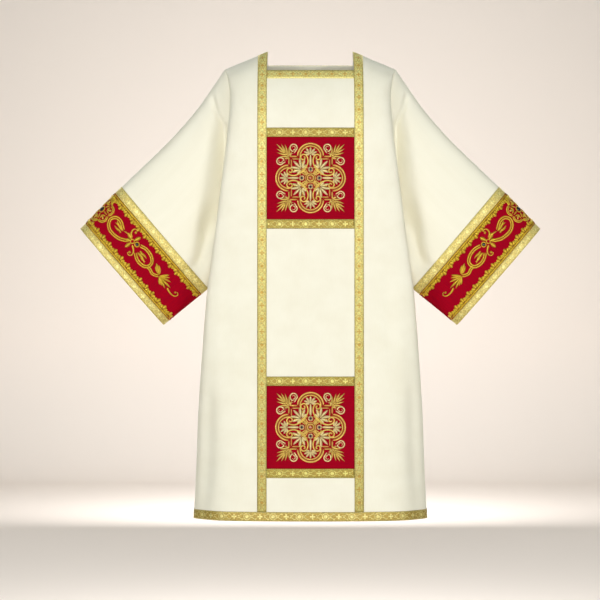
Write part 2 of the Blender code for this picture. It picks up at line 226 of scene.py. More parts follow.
@lru_cache(None)
def fold_and_seam(drop, face):
    """How far the fold beside the armhole and the seam behind it stand out from the middle plane."""
    middle = face * SIDE_SEAM_Y * min(1.0, drop / ARMHOLE_DEPTH)
    half = ARMHOLE_HALF_FRONT if face == FRONT else ARMHOLE_HALF_BACK
    share = min(1.0, drop / ARMHOLE_DEPTH)
    seam = middle + half * (1 - abs(2 * share - 1) ** ARMHOLE_BOXINESS) ** (1 / ARMHOLE_BOXINESS)
    fold = max(seam, SECTION_AT["front_fold" if face == FRONT else "back_fold"](drop))
    return fold, seam, middle


def side_x(drop, face, out):
    """The side's x at a level, where the cloth turns in behind the fold, at a distance out in y."""
    fold, _, middle = fold_and_seam(drop, face)
    turn = max(0.0, fold - out) / max(1.0, fold - middle)
    return SECTION_AT["half_width"](drop) - SECTION_AT["tuck"](drop) * turn**FOLD_TURN


@lru_cache(None)
def section_lines(drop, face):
    """Points of the half section at a level, from the middle to the fold, and from there in to the seam."""
    width = SECTION_AT["half_width"](drop)
    boxiness = SECTION_AT["boxiness"](drop)
    fold, seam, _ = fold_and_seam(drop, face)
    if face == FRONT:
        depth = SECTION_AT["front"](drop) * quarter_round(drop, CHEST_ROUNDING)
    else:
        depth = SECTION_AT["back"](drop) * quarter_round(drop, BACK_ROUNDING)
    depth = max(depth, fold)
    to_fold, to_seam = [], []
    for i in range(SECTION_SAMPLES + 1):
        angle = math.pi / 2 * i / SECTION_SAMPLES
        x = width * math.sin(angle) ** (2 / boxiness)
        y = fold + (depth - fold) * math.cos(angle) ** (2 / boxiness)
        to_fold.append((x, face * y))
        out = fold + (seam - fold) * i / SECTION_SAMPLES
        to_seam.append((side_x(drop, face, out), face * out))
    return to_fold, to_seam, cut_at(to_fold, CLAVUS_OUTER)


def along(line, far):
    """The point on a line of points, that far along it."""
    for (x0, y0), (x1, y1) in zip(line, line[1:]):
        step = math.hypot(x1 - x0, y1 - y0)
        if far <= step:
            t = far / step if step else 0.0
            return x0 + (x1 - x0) * t, y0 + (y1 - y0) * t
        far -= step
    return line[-1]


def length(line):
    return sum(math.hypot(x1 - x0, y1 - y0) for (x0, y0), (x1, y1) in zip(line, line[1:]))


def cut_at(line, x):
    """The part of a section line that lies beyond x, starting on it."""
    for i, ((x0, y0), (x1, y1)) in enumerate(zip(line, line[1:])):
        if x0 <= x <= x1:
            t = (x - x0) / max(x1 - x0, 1e-9)
            return [(x, y0 + (y1 - y0) * t)] + line[i + 1 :]
    return line[-1:]


def flute_depth(face, share, drop):
    """How far the hanging cloth stands out in its flutes."""
    total = 0.0
    for flute in FRONT_FLUTES if face == FRONT else BACK_FLUTES:
        down = ease((drop - flute.begins) / (HEM - flute.begins))
        total += flute.depth * down * math.exp(-(((share - flute.across) / flute.spread) ** 2))
    return total * ease((1 - share) / FLUTE_FADE) * ease(share / FLUTE_FADE)


def shoulder_fall(face, x, drop):
    """How far a level bends from flat near the shoulder, which slopes down from the neck."""
    neck = FRONT_NECK_DROP if face == FRONT else BACK_NECK_DROP
    beyond = ease((x - CLAVUS_OUTER) / (SECTIONS[0].half_width - CLAVUS_OUTER))
    eased_over = neck + (SHOULDER_EASE - neck) * beyond
    left = max(0.0, 1 - drop / eased_over)
    return -SHOULDER_SLOPE * (x - SHOULDER_LEVEL_AT) * left * left


def body_point(face, across, drop):
    """A point of the front or back. across is 0 in the middle, 1 at the clavus's outer edge and 2 at the
    seam."""
    side = -1 if across < 0 else 1
    across = abs(across)
    to_fold, to_seam, outer = section_lines(drop, face)
    share = across - 1
    if across <= 1:
        x, y = cut_at(to_fold, across * CLAVUS_OUTER)[0]
    else:
        if share <= FOLD_SHARE:
            x, y = along(outer, share / FOLD_SHARE * length(outer))
        else:
            x, y = along(to_seam, (share - FOLD_SHARE) / (1 - FOLD_SHARE) * length(to_seam))
        out = flute_depth(face, share, drop)
        turn = math.atan2(x - CLAVUS_OUTER, abs(y))
        x += out * math.sin(turn)
        y += face * out * math.cos(turn)
    z = -drop + (shoulder_fall(face, x, drop) if x >= SQUARE_HALF_WIDTH - 1 else 0.0)
    return side * x, y, z


@lru_cache(None)
def seam_point(face, drop):
    return np.array(body_point(face, 2, drop))


def polyline_point(points, share):
    """A point on a smooth line through some points, at a share of its length."""
    at = [0.0]
    for a, b in zip(points, points[1:]):
        at.append(at[-1] + math.hypot(b.x - a.x, b.z - a.z))
    far = share * at[-1]
    x = smooth_curve(at, [p.x for p in points])
    z = smooth_curve(at, [p.z for p in points])
    return Point(x(far), z(far))


@lru_cache(None)
def sleeve_lines(share, band):
    """The sleeve's top and lower point. share runs from the armhole to the cuff band, band across that."""
    if band <= 0:
        start = Point(side_x(ARMHOLE_DEPTH, FRONT, -SIDE_SEAM_Y), -ARMHOLE_DEPTH)
        end = UNDERARM_END
        low = share**UNDERARM_SPREAD
        bottom = Point(start.x + (end.x - start.x) * low, start.z + (end.z - start.z) * low)
        return polyline_point(OVERARM, share), bottom
    t = band / CUFF_BAND_WIDTH
    top, low = OVERARM[-1], UNDERARM_END
    return (
        Point(top.x + (CUFF_TOP.x - top.x) * t, top.z + (CUFF_TOP.z - top.z) * t),
        Point(low.x + (CUFF_BOTTOM.x - low.x) * t, low.z + (CUFF_BOTTOM.z - low.z) * t),
    )


def sleeve_section(face, down, share, band):
    """The flat tube that the sleeve would be with no armhole to meet. down is the share of its depth."""
    top, bottom = sleeve_lines(share, band)
    angle = math.acos(1 - 2 * down)
    half = SLEEVE_HALF_FRONT if face == FRONT else SLEEVE_HALF_BACK
    half += CUFF_FLARE * band / CUFF_BAND_WIDTH
    y = face * half * max(0.0, math.sin(angle)) ** (2 / SLEEVE_BOXINESS) * (1 - SLEEVE_TAPER * down)
    y += SIDE_SEAM_Y * down * (1 - share)
    return np.array((top.x + (bottom.x - top.x) * down, y, top.z + (bottom.z - top.z) * down))


def sleeve_point(side, around, place):
    """A point of a sleeve. around is 0 at the top, 1 at the underarm and 2 at the top again, by the back.
    place is 0 at the armhole, 1 where the cuff band starts and 2 at the cuff's edge."""
    face = FRONT if around <= 1 else BACK
    down = (1 - math.cos(math.pi * around)) / 2
    share, band = min(1.0, place), max(0.0, place - 1) * CUFF_BAND_WIDTH
    point = sleeve_section(face, down, share, band)
    left = 1 - ease(share / ARMHOLE_BLEND)
    if left > 0:
        point = point + (seam_point(face, down * ARMHOLE_DEPTH) - sleeve_section(face, down, 0.0, 0.0)) * left
    return side * point[0], point[1], point[2]


def spaced(start, end, step):
    """Even steps from start to end, both included, no longer than step."""
    return np.linspace(start, end, max(1, math.ceil(abs(end - start) / step)) + 1)


class Surface:
    """A fine grid over a panel of the garment, in mm, from which all that lies on it takes its places."""

    def __init__(self, us, vs, place, inside):
        self.us, self.vs = np.asarray(us, float), np.asarray(vs, float)
        self.points = np.array([[place(u, v) for v in self.vs] for u in self.us], float)
        self.find_normals(inside)

    def find_normals(self, inside):
        """Unit normals that point away from a place inside the garment."""
        normals = np.cross(np.gradient(self.points, axis=0), np.gradient(self.points, axis=1))
        normals /= np.maximum(np.linalg.norm(normals, axis=2), 1e-9)[..., None]
        middle = tuple(n // 2 for n in normals.shape[:2])
        outward = self.points[middle] - inside
        self.normals = normals * np.sign((normals[middle] * outward).sum())

    def crease(self, creases, side, face):
        """Presses the creases into one face of the surface. They fade out towards its first row."""
        x, z = side * self.points[..., 0], self.points[..., 2]
        depth = np.zeros_like(x)
        for c in creases:
            run = np.array((c.to_x - c.x, c.to_z - c.z))
            far = np.hypot(*run)
            t = ((x - c.x) * run[0] + (z - c.z) * run[1]) / far**2
            off = ((x - c.x) * run[1] - (z - c.z) * run[0]) / far - c.bow * np.sin(np.pi * t.clip(0, 1))
            ends = np.exp(-((np.maximum(0, np.abs(t - 0.5) - CREASE_CORE) / CREASE_END_FADE) ** 2))
            depth += c.depth * np.exp(-((off / c.reach) ** 2)) * ends
        fade = np.array([ease(v / CREASE_START) for v in self.vs])
        shown = (self.normals[..., 1] * face > 0) * fade
        self.points += self.normals * (depth * shown)[..., None]

    def at(self, u, v, out=0.0):
        """Places on the surface, moved out from it by out."""
        i = np.interp(u, self.us, np.arange(len(self.us)))
        j = np.interp(v, self.vs, np.arange(len(self.vs)))
        i0 = np.minimum(i.astype(int), len(self.us) - 2)
        j0 = np.minimum(j.astype(int), len(self.vs) - 2)
        a, b = (i - i0)[..., None], (j - j0)[..., None]

        def blend(grid):
            low = grid[i0, j0] * (1 - a) + grid[i0 + 1, j0] * a
            high = grid[i0, j0 + 1] * (1 - a) + grid[i0 + 1, j0 + 1] * a
            return low * (1 - b) + high * b

        normal = blend(self.normals)
        normal /= np.maximum(np.linalg.norm(normal, axis=-1), 1e-9)[..., None]
        return blend(self.points) + normal * np.asarray(out, float)[..., None]


def body_levels(neck):
    """Levels that run close together over the shoulder, where the cloth turns down."""
    turned = CHEST_ROUNDING * math.pi / 2

    def run(drop):
        over, below = min(1.0, drop / CHEST_ROUNDING), max(0.0, drop - CHEST_ROUNDING)
        return CHEST_ROUNDING * math.acos(1 - over) + below

    levels = [0.0]
    for start, end in zip((0.0, neck), (neck, HEM)):
        for far in spaced(run(start), run(end), GRAIN_STEP)[1:]:
            if far < turned:
                levels.append(CHEST_ROUNDING * (1 - math.cos(far / CHEST_ROUNDING)))
            else:
                levels.append(far - turned + CHEST_ROUNDING)
        levels[-1] = end
    return levels


# Steps between the columns on the body's sides and round its folds, as shares of the way to the side seam
SIDE_STEP = 0.024
FOLD_STEP = 0.02
# Steps between a sleeve's rows near the armhole and beyond, and between its columns near the top and below
SLEEVE_ROWS = (0.011, 0.018)
SLEEVE_COLUMNS = (0.0072, 0.0125)
CREASED_ROWS = 0.5
CREASED_COLUMNS = (0.36, 1.64)


def body_columns():
    """Where the body's columns lie, from one seam to the other, closer together round the folds."""
    half = list(spaced(0, SQUARE_HALF_WIDTH, GRAIN_STEP) / CLAVUS_OUTER)
    half += list(spaced(SQUARE_HALF_WIDTH, CLAVUS_OUTER, GRAIN_STEP)[1:] / CLAVUS_OUTER)
    half += list(1 + spaced(0, FOLD_SHARE, SIDE_STEP)[1:])
    half += list(1 + spaced(FOLD_SHARE, 1, FOLD_STEP)[1:])
    return [-s for s in reversed(half[1:])] + half


def make_surfaces():
    columns = body_columns()
    middle = np.array((0, 0, -600))
    surfaces = {}
    for name, face, (neck, _) in (("front", FRONT, NECKS["front"]), ("back", BACK, NECKS["back"])):
        surfaces[name] = Surface(columns, body_levels(neck), lambda u, v: body_point(face, u, v), middle)
    band = 1 + spaced(0, CUFF_BAND_WIDTH, GRAIN_STEP)[1:] / CUFF_BAND_WIDTH
    places = [
        *spaced(0, CREASED_ROWS, SLEEVE_ROWS[0]),
        *spaced(CREASED_ROWS, 1, SLEEVE_ROWS[1])[1:],
        *band,
    ]
    front_end, back_start = CREASED_COLUMNS
    turns = [
        *spaced(0, front_end, SLEEVE_COLUMNS[0]),
        *spaced(front_end, back_start, SLEEVE_COLUMNS[1])[1:-1],
        *spaced(back_start, 2, SLEEVE_COLUMNS[0]),
    ]
    for hand, other in (("left", "right"), ("right", "left")):
        side = SIDES[hand]
        inside = np.array((side * 390, 0, -440))
        sleeve = Surface(turns, places, lambda u, v: sleeve_point(side, u, v), inside)
        # The hidden side is creased like the shown one, but as the other hand is
        sleeve.crease(SLEEVE_CREASES[hand], side, FRONT)
        sleeve.crease(SLEEVE_CREASES[other], side, BACK)
        surfaces["front"].crease(BODY_CREASES[hand], side, FRONT)
        surfaces["back"].crease(BODY_CREASES[other], side, BACK)
        surfaces[f"sleeve_{hand}"] = sleeve
    return surfaces


def linear(code):
    """An sRGB hex colour as linear red, green and blue."""
    parts = [int(code[i : i + 2], 16) / 255 for i in (0, 2, 4)]
    return tuple(c / 12.92 if c <= 0.04045 else ((c + 0.055) / 1.055) ** 2.4 for c in parts)


def add_node(tree, kind, links=None, output=0, **settings):
    """Adds a node with its settings, links or sets its inputs, and gives one of its outputs."""
    node = tree.nodes.new("ShaderNode" + kind)
    for name, value in settings.items():
        setattr(node, name, value)
    for socket, value in (links or {}).items():
        if isinstance(value, bpy.types.NodeSocket):
            tree.links.new(value, node.inputs[socket])
        else:
            node.inputs[socket].default_value = value
    return node.outputs[output]


def start_material(name, color, **values):
    """A material with its shader's own values set. Gives the material, its tree and its shader."""
    material = bpy.data.materials.new(name)
    material.use_nodes = True
    shader = material.node_tree.nodes["Principled BSDF"]
    shader.inputs["Base Color"].default_value = (*color, 1)
    for socket, value in values.items():
        shader.inputs[socket.replace("_", " ")].default_value = value
    return material, material.node_tree, shader


def band_scale(pitch):
    """The wave texture's scale for bands that repeat every so many millimetres of the cloth's own map."""
    return math.pi / 10 / pitch


UV_NAME = "cloth_mm"


def threads_across(tree, uv, pitch, way="Y"):
    """The height of rounded threads that lie side by side, a pitch apart."""
    settings = {"bands_direction": way, "wave_profile": "SIN"}
    return add_node(tree, "TexWave", {0: uv, "Scale": band_scale(pitch)}, **settings)


def weave(tree, uv, warp, weft):
    """The height of a plain weave, from two sets of rounded threads that cross."""
    ends, picks = (threads_across(tree, uv, pitch, way) for pitch, way in ((warp, "X"), (weft, "Y")))
    return add_node(tree, "Math", {0: ends, 1: picks}, operation="MULTIPLY")


def multiplied(tree, color, tone, share=1.0):
    """A colour times a tone, as far as share goes."""
    settings = {"data_type": "RGBA", "blend_type": "MULTIPLY"}
    return add_node(tree, "Mix", {0: share, 6: color, 7: tone}, 2, **settings)


def finish_surface(tree, shader, color, height, strength, distance):
    """Gives the shader its relief from a height, and its colour where that comes from a node."""
    if color is not None:
        tree.links.new(color, shader.inputs["Base Color"])
    bump = add_node(tree, "Bump", {"Strength": strength, "Distance": distance, "Height": height})
    tree.links.new(bump, shader.inputs["Normal"])


def cream_wool_crepe(color, shade):
    """Plain-woven wool crepe: matt and opaque, with an even fine grain, slight clouding and a faint sheen."""
    values = {"Roughness": 0.82, "Specular_IOR_Level": 0.25, "Sheen_Weight": 0.12, "Sheen_Roughness": 0.5}
    material, tree, shader = start_material("cream_wool_crepe", color, **values)
    uv = add_node(tree, "UVMap", uv_map=UV_NAME)
    # Threads 0.9 mm apart, about twice the real spacing, so that the grain shows at all
    threads = weave(tree, uv, 0.9, 0.9)
    # Slubs: thicker stretches of yarn, 3 mm wide and 25 mm long
    slub_place = add_node(tree, "Mapping", {0: uv, "Scale": (0.33, 0.04, 1)})
    slubs = add_node(tree, "TexNoise", {0: slub_place, "Scale": 1.0, "Detail": 3.0})
    # Clouding over about 60 mm, where the cloth has taken up the dye a little differently
    clouds = add_node(tree, "TexNoise", {0: uv, "Scale": 0.016, "Detail": 2.0})
    both = add_node(tree, "Math", {0: slubs, 1: 0.35, 2: clouds}, operation="MULTIPLY_ADD")
    tone = add_node(tree, "MapRange", {0: both, 1: 0.45, 2: 0.95, 3: 0.0, 4: 1.0})
    mixed = add_node(tree, "Mix", {0: tone, 6: (*shade, 1), 7: (*color, 1)}, 2, data_type="RGBA")
    height = add_node(tree, "Math", {0: slubs, 1: 0.8, 2: threads}, operation="MULTIPLY_ADD")
    finish_surface(tree, shader, mixed, height, 0.22, 0.0004)
    return material


def red_silk_cloth(color, shade):
    """Closely woven silk and wool: deep red, soft, with a quiet lustre and fine cross ribs."""
    material, tree, shader = start_material("red_silk_cloth", color, Roughness=0.75, Specular_IOR_Level=0.04)
    uv = add_node(tree, "UVMap", uv_map=UV_NAME)
    # Cross ribs 0.8 mm apart, a little coarser than the real ones
    threads = weave(tree, uv, 1.6, 0.8)
    slub_place = add_node(tree, "Mapping", {0: uv, "Scale": (0.03, 0.5, 1)})
    slubs = add_node(tree, "TexNoise", {0: slub_place, "Scale": 1.0, "Detail": 2.0})
    tone = add_node(tree, "MapRange", {0: slubs, 1: 0.35, 2: 0.65, 3: 0.0, 4: 1.0})
    mixed = add_node(tree, "Mix", {0: tone, 6: (*shade, 1), 7: (*color, 1)}, 2, data_type="RGBA")
    height = add_node(tree, "Math", {0: slubs, 1: 0.5, 2: threads}, operation="MULTIPLY_ADD")
    finish_surface(tree, shader, mixed, height, 0.2, 0.0004)
    return material


GALLOON_REPEAT = 69.0


def galloon_steps():
    """The galloon's drawing as steps of arithmetic: a name, an operation and its values, which are numbers or
    earlier names. u is across the strip from its middle and v along it. Below zero lies a figure."""
    half = GALLOON_REPEAT / 2
    return [
        ("across", "ABSOLUTE", "u"),
        ("near_cross", "WRAP", "v", half, -half),
        ("shifted", "ADD", "v", half),
        ("near_rose", "WRAP", "shifted", half, -half),
        ("from_cross", "ABSOLUTE", "near_cross"),
        ("from_rose", "ABSOLUTE", "near_rose"),
        # A cross with arms that widen outwards, 13 mm over all
        ("upright_width", "MULTIPLY_ADD", "from_cross", 0.22, 0.9),
        ("beside_upright", "SUBTRACT", "across", "upright_width"),
        ("past_upright", "SUBTRACT", "from_cross", 6.6),
        ("upright", "MAXIMUM", "beside_upright", "past_upright"),
        ("level_width", "MULTIPLY_ADD", "across", 0.22, 0.9),
        ("beside_level", "SUBTRACT", "from_cross", "level_width"),
        ("past_level", "SUBTRACT", "across", 6.6),
        ("level", "MAXIMUM", "beside_level", "past_level"),
        ("cross", "MINIMUM", "upright", "level"),
        # A rose of eight petals in a ring, 19 mm across
        ("across_square", "MULTIPLY", "across", "across"),
        ("far_square", "MULTIPLY_ADD", "near_rose", "near_rose", "across_square"),
        ("far", "SQRT", "far_square"),
        ("turn", "ARCTAN2", "near_rose", "across"),
        ("eight_turns", "MULTIPLY", "turn", 8.0),
        ("petal_wave", "COSINE", "eight_turns"),
        ("petal_edge", "MULTIPLY_ADD", "petal_wave", 1.3, 4.6),
        ("petals", "SUBTRACT", "far", "petal_edge"),
        ("from_ring", "SUBTRACT", "far", 8.4),
        ("beside_ring", "ABSOLUTE", "from_ring"),
        ("ring", "SUBTRACT", "beside_ring", 0.75),
        ("rose", "MINIMUM", "petals", "ring"),
        # Scrolls that wind between them
        ("phase", "MULTIPLY", "v", 4 * math.pi / half),
        ("wave", "SINE", "phase"),
        ("wave_at", "MULTIPLY_ADD", "wave", 2.6, 4.4),
        ("from_wave", "SUBTRACT", "across", "wave_at"),
        ("beside_wave", "ABSOLUTE", "from_wave"),
        ("scroll", "SUBTRACT", "beside_wave", 0.8),
        ("nearer", "MINIMUM", "from_cross", "from_rose"),
        ("clear", "SUBTRACT", 9.5, "nearer"),
        ("scrolls", "MAXIMUM", "scroll", "clear"),
        # A plain line inside each edge
        ("from_edge", "SUBTRACT", "across", 10.3),
        ("beside_edge", "ABSOLUTE", "from_edge"),
        ("edge", "SUBTRACT", "beside_edge", 0.5),
        ("figures", "MINIMUM", "cross", "rose"),
        ("lines", "MINIMUM", "scrolls", "edge"),
        ("nearest", "MINIMUM", "figures", "lines"),
    ]


def gold_jacquard_galloon(name, color, ground, low_tone):
    """Jacquard braid of metal thread: raised figures on a ribbed ground, with a plain edge line. Which of
    the two looks brighter depends on how the braid lies to the light, and the figure and ground colours
    given for each copy are painted light and shade for the way it lies. The fourth argument is painted
    light and shade too: what its colour is times at the level of the hem."""
    material, tree, shader = start_material(name, color, Roughness=0.42, Metallic=0.35)
    uv = add_node(tree, "UVMap", uv_map=UV_NAME)
    parts = add_node(tree, "SeparateXYZ", {0: uv})
    found = {"u": parts, "v": parts.node.outputs[1]}
    for step, operation, *values in galloon_steps():
        inputs = {i: found.get(value, value) for i, value in enumerate(values)}
        found[step] = add_node(tree, "Math", inputs, operation=operation)
    figure = add_node(tree, "MapRange", {0: found["nearest"], 1: -0.45, 2: 0.45, 3: 1.0, 4: 0.0})
    # The ground's ribs, 1.1 mm apart, and worn threads over about 5 mm
    ribs = threads_across(tree, uv, 1.1)
    worn = add_node(tree, "TexNoise", {0: uv, "Scale": 0.22, "Detail": 3.0})
    patchy = add_node(tree, "MapRange", {0: worn, 1: 0.3, 2: 0.7, 3: 0.72, 4: 1.25})
    mixed = add_node(tree, "Mix", {0: figure, 6: (*ground, 1), 7: (*color, 1)}, 2, data_type="RGBA")
    shaded = multiplied(tree, mixed, patchy)
    # Painted light and shade by height: the lower lengths are made duller and redder, as metal facing the
    # floor would look, and the hem's galloon brighter and bluer
    height_at = add_node(tree, "SeparateXYZ", {0: add_node(tree, "TexCoord", output=3)}, 2)
    down = add_node(tree, "MapRange", {0: height_at, 1: 0.0, 2: -1.2, 3: 0.0, 4: 1.0})
    painted_light_colour = multiplied(tree, shaded, (*low_tone, 1), down)
    rough = add_node(tree, "MapRange", {0: figure, 3: 0.5, 4: 0.32})
    tree.links.new(rough, shader.inputs["Roughness"])
    height = add_node(tree, "Math", {0: ribs, 1: 0.3, 2: figure}, operation="MULTIPLY_ADD")
    finish_surface(tree, shader, painted_light_colour, height, 0.5, 0.0005)
    return material


def gold_thread(name, color):
    """Metal thread laid side by side in satin stitch: it glints along each stroke and has fine grooves."""
    values = {"Roughness": 0.34, "Metallic": 0.55, "Specular_IOR_Level": 0.5}
    material, tree, shader = start_material(name, color, **values)
    uv = add_node(tree, "UVMap", uv_map=UV_NAME)
    # Threads 0.7 mm apart, twice the real spacing
    threads = threads_across(tree, uv, 0.7)
    light = add_node(tree, "MapRange", {0: threads, 3: 0.72, 4: 1.1})
    finish_surface(tree, shader, multiplied(tree, (*color, 1), light), threads, 0.4, 0.0003)
    return material


def cut_glass(name, color):
    """Glass cabochon: glossy and clear, dark or amber in its depth, with a sharp highlight."""
    material, tree, shader = start_material(name, color, Roughness=0.06, IOR=1.52, Coat_Weight=0.6)
    place = add_node(tree, "TexCoord", output=3)
    flaws = add_node(tree, "TexNoise", {0: place, "Scale": 400.0, "Detail": 2.0})
    depth = add_node(tree, "MapRange", {0: flaws, 3: 0.6, 4: 1.3})
    tree.links.new(multiplied(tree, (*color, 1), depth), shader.inputs["Base Color"])
    return material


def studio_paper(color):
    """Seamless background paper: quite matt, with hardly any tooth."""
    material, tree, shader = start_material("studio_paper", color, Roughness=0.95, Specular_IOR_Level=0.1)
    place = add_node(tree, "TexCoord", output=3)
    tooth = add_node(tree, "TexNoise", {0: place, "Scale": 500.0, "Detail": 2.0})
    finish_surface(tree, shader, None, tooth, 0.05, 0.0003)
    return material


def new_object(name, bm, materials):
    """Turns a bmesh in millimetres into an object with its materials."""
    bmesh.ops.scale(bm, vec=(MM, MM, MM), verts=bm.verts)
    mesh = bpy.data.meshes.new(name)
    bm.to_mesh(mesh)
    bm.free()
    for material in materials:
        mesh.materials.append(material)
    mesh.shade_smooth()
    obj = bpy.data.objects.new(name, mesh)
    bpy.context.scene.collection.objects.link(obj)
    return obj


def settle(obj, slot, *nodes):
    """Lets a piece ride on the garment and hides the nodes that it stands for. slot is not used."""
    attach(obj, "root")
    if nodes:
        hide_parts(*nodes)


def give_wall(obj, thickness):
    """Thickens a sheet inwards."""
    wall = obj.modifiers.new("thickness", "SOLIDIFY")
    wall.thickness = thickness * MM
    wall.offset = -1
    wall.use_even_offset = False


def map_grid(bm, spots, uv_at):
    """Adds a grid whose corners lie at the spots, with its map. Gives its faces and each corner's cell."""
    rows, columns = spots.shape[0] - 1, spots.shape[1] - 1
    made = bmesh.ops.create_grid(bm, x_segments=rows, y_segments=columns, size=0.5)["verts"]
    uv_layer = bm.loops.layers.uv.get(UV_NAME) or bm.loops.layers.uv.new(UV_NAME)
    cells = {}
    for vert in made:
        cells[vert] = round((vert.co.x + 0.5) * rows), round((vert.co.y + 0.5) * columns)
        vert.co = spots[cells[vert]]
    faces = {face for vert in made for face in vert.link_faces}
    for face in faces:
        for loop in face.loops:
            loop[uv_layer].uv = uv_at(*cells[loop.vert])
    return faces, cells


def distances(line):
    """How far along a line of points each of them is."""
    return np.concatenate(([0], np.cumsum(np.linalg.norm(np.diff(line, axis=0), axis=1))))


def add_grid(bm, surface, us, vs, out=0.0, runs_down=True, start=0.0, keep=None):
    """Adds a grid over part of a surface, moved out from it, and gives the distance along it at its end. Its
    map has millimetres across the strip in x, from its middle, and millimetres along it in y."""
    us, vs = np.asarray(us, float), np.asarray(vs, float)
    spots = surface.at(*np.meshgrid(us, vs, indexing="ij"), out)
    u_far, v_far = distances(spots[:, len(vs) // 2]), distances(spots[len(us) // 2])
    across, down = (u_far, v_far) if runs_down else (v_far, u_far)

    def uv_at(i, j):
        a, d = (across[i], down[j]) if runs_down else (across[j], down[i])
        return a - across[-1] / 2, start + d

    faces, cells = map_grid(bm, spots, uv_at)
    if keep:
        centre = {face: [sum(n) / 4 for n in zip(*(cells[v] for v in face.verts))] for face in faces}
        gone = [face for face, (i, j) in centre.items() if not keep(i, j)]
        bmesh.ops.delete(bm, geom=gone, context="FACES")
    return start + down[-1]


def part_of(levels, start, end):
    """The levels from start to end, with both of them in."""
    return [start] + [v for v in levels if start + 1 < v < end - 1] + [end]


class Look:
    """The surfaces and materials that the pieces share, made once."""

    surfaces = {}
    materials = {}


def make_cloth(node):
    """A panel of the garment as a thin shell."""
    surface = Look.surfaces[node]
    bm = bmesh.new()
    keep = None
    if node in NECKS:
        neck_row = int(np.argmin(abs(surface.vs - NECKS[node][0])))
        low, high = (int(np.argmin(abs(surface.us - side * CLAVUS_INNER))) for side in (-1, 1))

        def keep(i, j):
            return j > neck_row or not low < i < high

    add_grid(bm, surface, surface.us, surface.vs, keep=keep)
    finish_sheet(bm, surface)
    obj = new_object(f"cloth_{node}", bm, [Look.materials["cream"]])
    give_wall(obj, CLOTH_THICKNESS)
    settle(obj, "cream_cloth", node)


def finish_sheet(bm, surface):
    """Joins a piece's grids where they meet and turns its faces outwards."""
    bmesh.ops.remove_doubles(bm, verts=bm.verts, dist=0.01)
    bm.normal_update()
    bm.faces.ensure_lookup_table()
    face = bm.faces[len(bm.faces) // 2]
    spot = np.array(face.calc_center_median())
    flat = surface.points.reshape(-1, 3)
    nearest = int(np.argmin(((flat - spot) ** 2).sum(1)))
    bmesh.ops.recalc_face_normals(bm, faces=bm.faces)
    if Vector(surface.normals.reshape(-1, 3)[nearest]).dot(face.normal) < 0:
        bmesh.ops.reverse_faces(bm, faces=bm.faces)


# Each stretch of a sewn strip: the panel, the columns and the levels or places that it covers
Stretch = namedtuple("Stretch", "panel us vs runs_down")


def make_strip(name, node, slot, material, stretches):
    """A strip or patch sewn on the cloth."""
    bm = bmesh.new()
    far = 0.0
    for stretch in stretches:
        surface = Look.surfaces[stretch.panel]
        out = TRIM_LIFT + TRIM_THICKNESS
        far = add_grid(bm, surface, stretch.us, stretch.vs, out, stretch.runs_down, far)
    finish_sheet(bm, surface)
    obj = new_object(name, bm, [Look.materials[material]])
    give_wall(obj, TRIM_THICKNESS)
    settle(obj, slot, node)


# A line of stitching is an array of points, each with x, y and half its width there, in millimetres. A
# drawing is a list of lines with the name of their thread.
ARCH = [(-1, 0), (-0.72, 0.72), (0, 1), (0.72, 0.72), (1, 0), (-1, 0)]
RIDGE = [(-1, 0), (0, 1), (1, 0), (-1, 0)]
# How high a stroke may stand for half its width, and how far its foot is sunk in what it lies on
STEEPEST = 0.85
STITCH_SUNK = 0.1
# Where beads and strokes stand: the face of the trims, out from the cloth
BEAD_SEAT = TRIM_LIFT + TRIM_THICKNESS
THREADS = {"thread": 0, "pale": 1, "old": 2, "under": 2, "vein": 2}
RISES = {"thread": 1.0, "pale": 1.0, "old": 0.85, "under": 0.4, "vein": 1.3}


def swell(count, kind):
    """How wide a line is along its length: a leaf is widest past its root, a petal near its tip, an oval in
    its middle, and a stem thins to its tip."""
    t = np.linspace(0, 1, count)
    return {
        "leaf": np.sin(np.pi * t**0.7) ** 0.85,
        "petal": np.sin(np.pi * t**1.2) ** 0.75,
        "oval": np.sqrt(4 * t * (1 - t)),
        "stem": (1 - t) ** 0.35 * np.minimum(1, t / 0.04 + 0.3) * (0.55 + 0.45 * (1 - t)),
        "even": np.minimum(1, np.minimum(t, 1 - t) * count * 0.8),
        "ring": np.ones(count),
    }[kind]


def curve(spots, width, kind="even", count=16):
    """A smooth line through some spots."""
    far = [0.0]
    for (x0, y0), (x1, y1) in zip(spots, spots[1:]):
        far.append(far[-1] + math.hypot(x1 - x0, y1 - y0))
    x_at, y_at = (smooth_curve(far, [spot[k] for spot in spots]) for k in (0, 1))
    steps = np.linspace(0, far[-1], count)
    return np.array([(x_at(s), y_at(s), 0) for s in steps]) + np.outer(swell(count, kind), (0, 0, width))


def arc(x, y, radius, start, end, width, kind="even", count=16):
    """Part of a circle, with angles in degrees."""
    turns = np.radians(np.linspace(start, end, count))
    places = x + radius * np.cos(turns), y + radius * np.sin(turns), width * swell(count, kind)
    return np.column_stack(places)


def leaf(x, y, angle, size, width, bend=0.0, count=9, kind="leaf"):
    """A satin-stitch leaf from its root, pointing at an angle in degrees and bending to the left."""
    t = np.linspace(0, 1, count)
    way = np.radians(angle + bend * t)
    step = size / (count - 1)
    xs = x + np.concatenate(([0], np.cumsum(np.cos(way[1:]) * step)))
    ys = y + np.concatenate(([0], np.cumsum(np.sin(way[1:]) * step)))
    return np.column_stack((xs, ys, width * swell(count, kind)))


def outlined(line, thread="thread", border=0.75):
    """A line of stitching with a wider and lower one of old gold under it, which shows as its outline."""
    return [(line + np.outer(line[:, 2] > 0, (0, 0, border)), "under"), (line, thread)]


def veined(x, y, angle, size, width, bend=0.0, thread="pale", kind="leaf"):
    """A leaf with an outline and a vein of old gold."""
    vein = leaf(x, y, angle, size * 0.78, 0.5, bend * 0.78, 6)
    return outlined(leaf(x, y, angle, size, width, bend, 9, kind), thread, 0.6) + [(vein, "vein")]


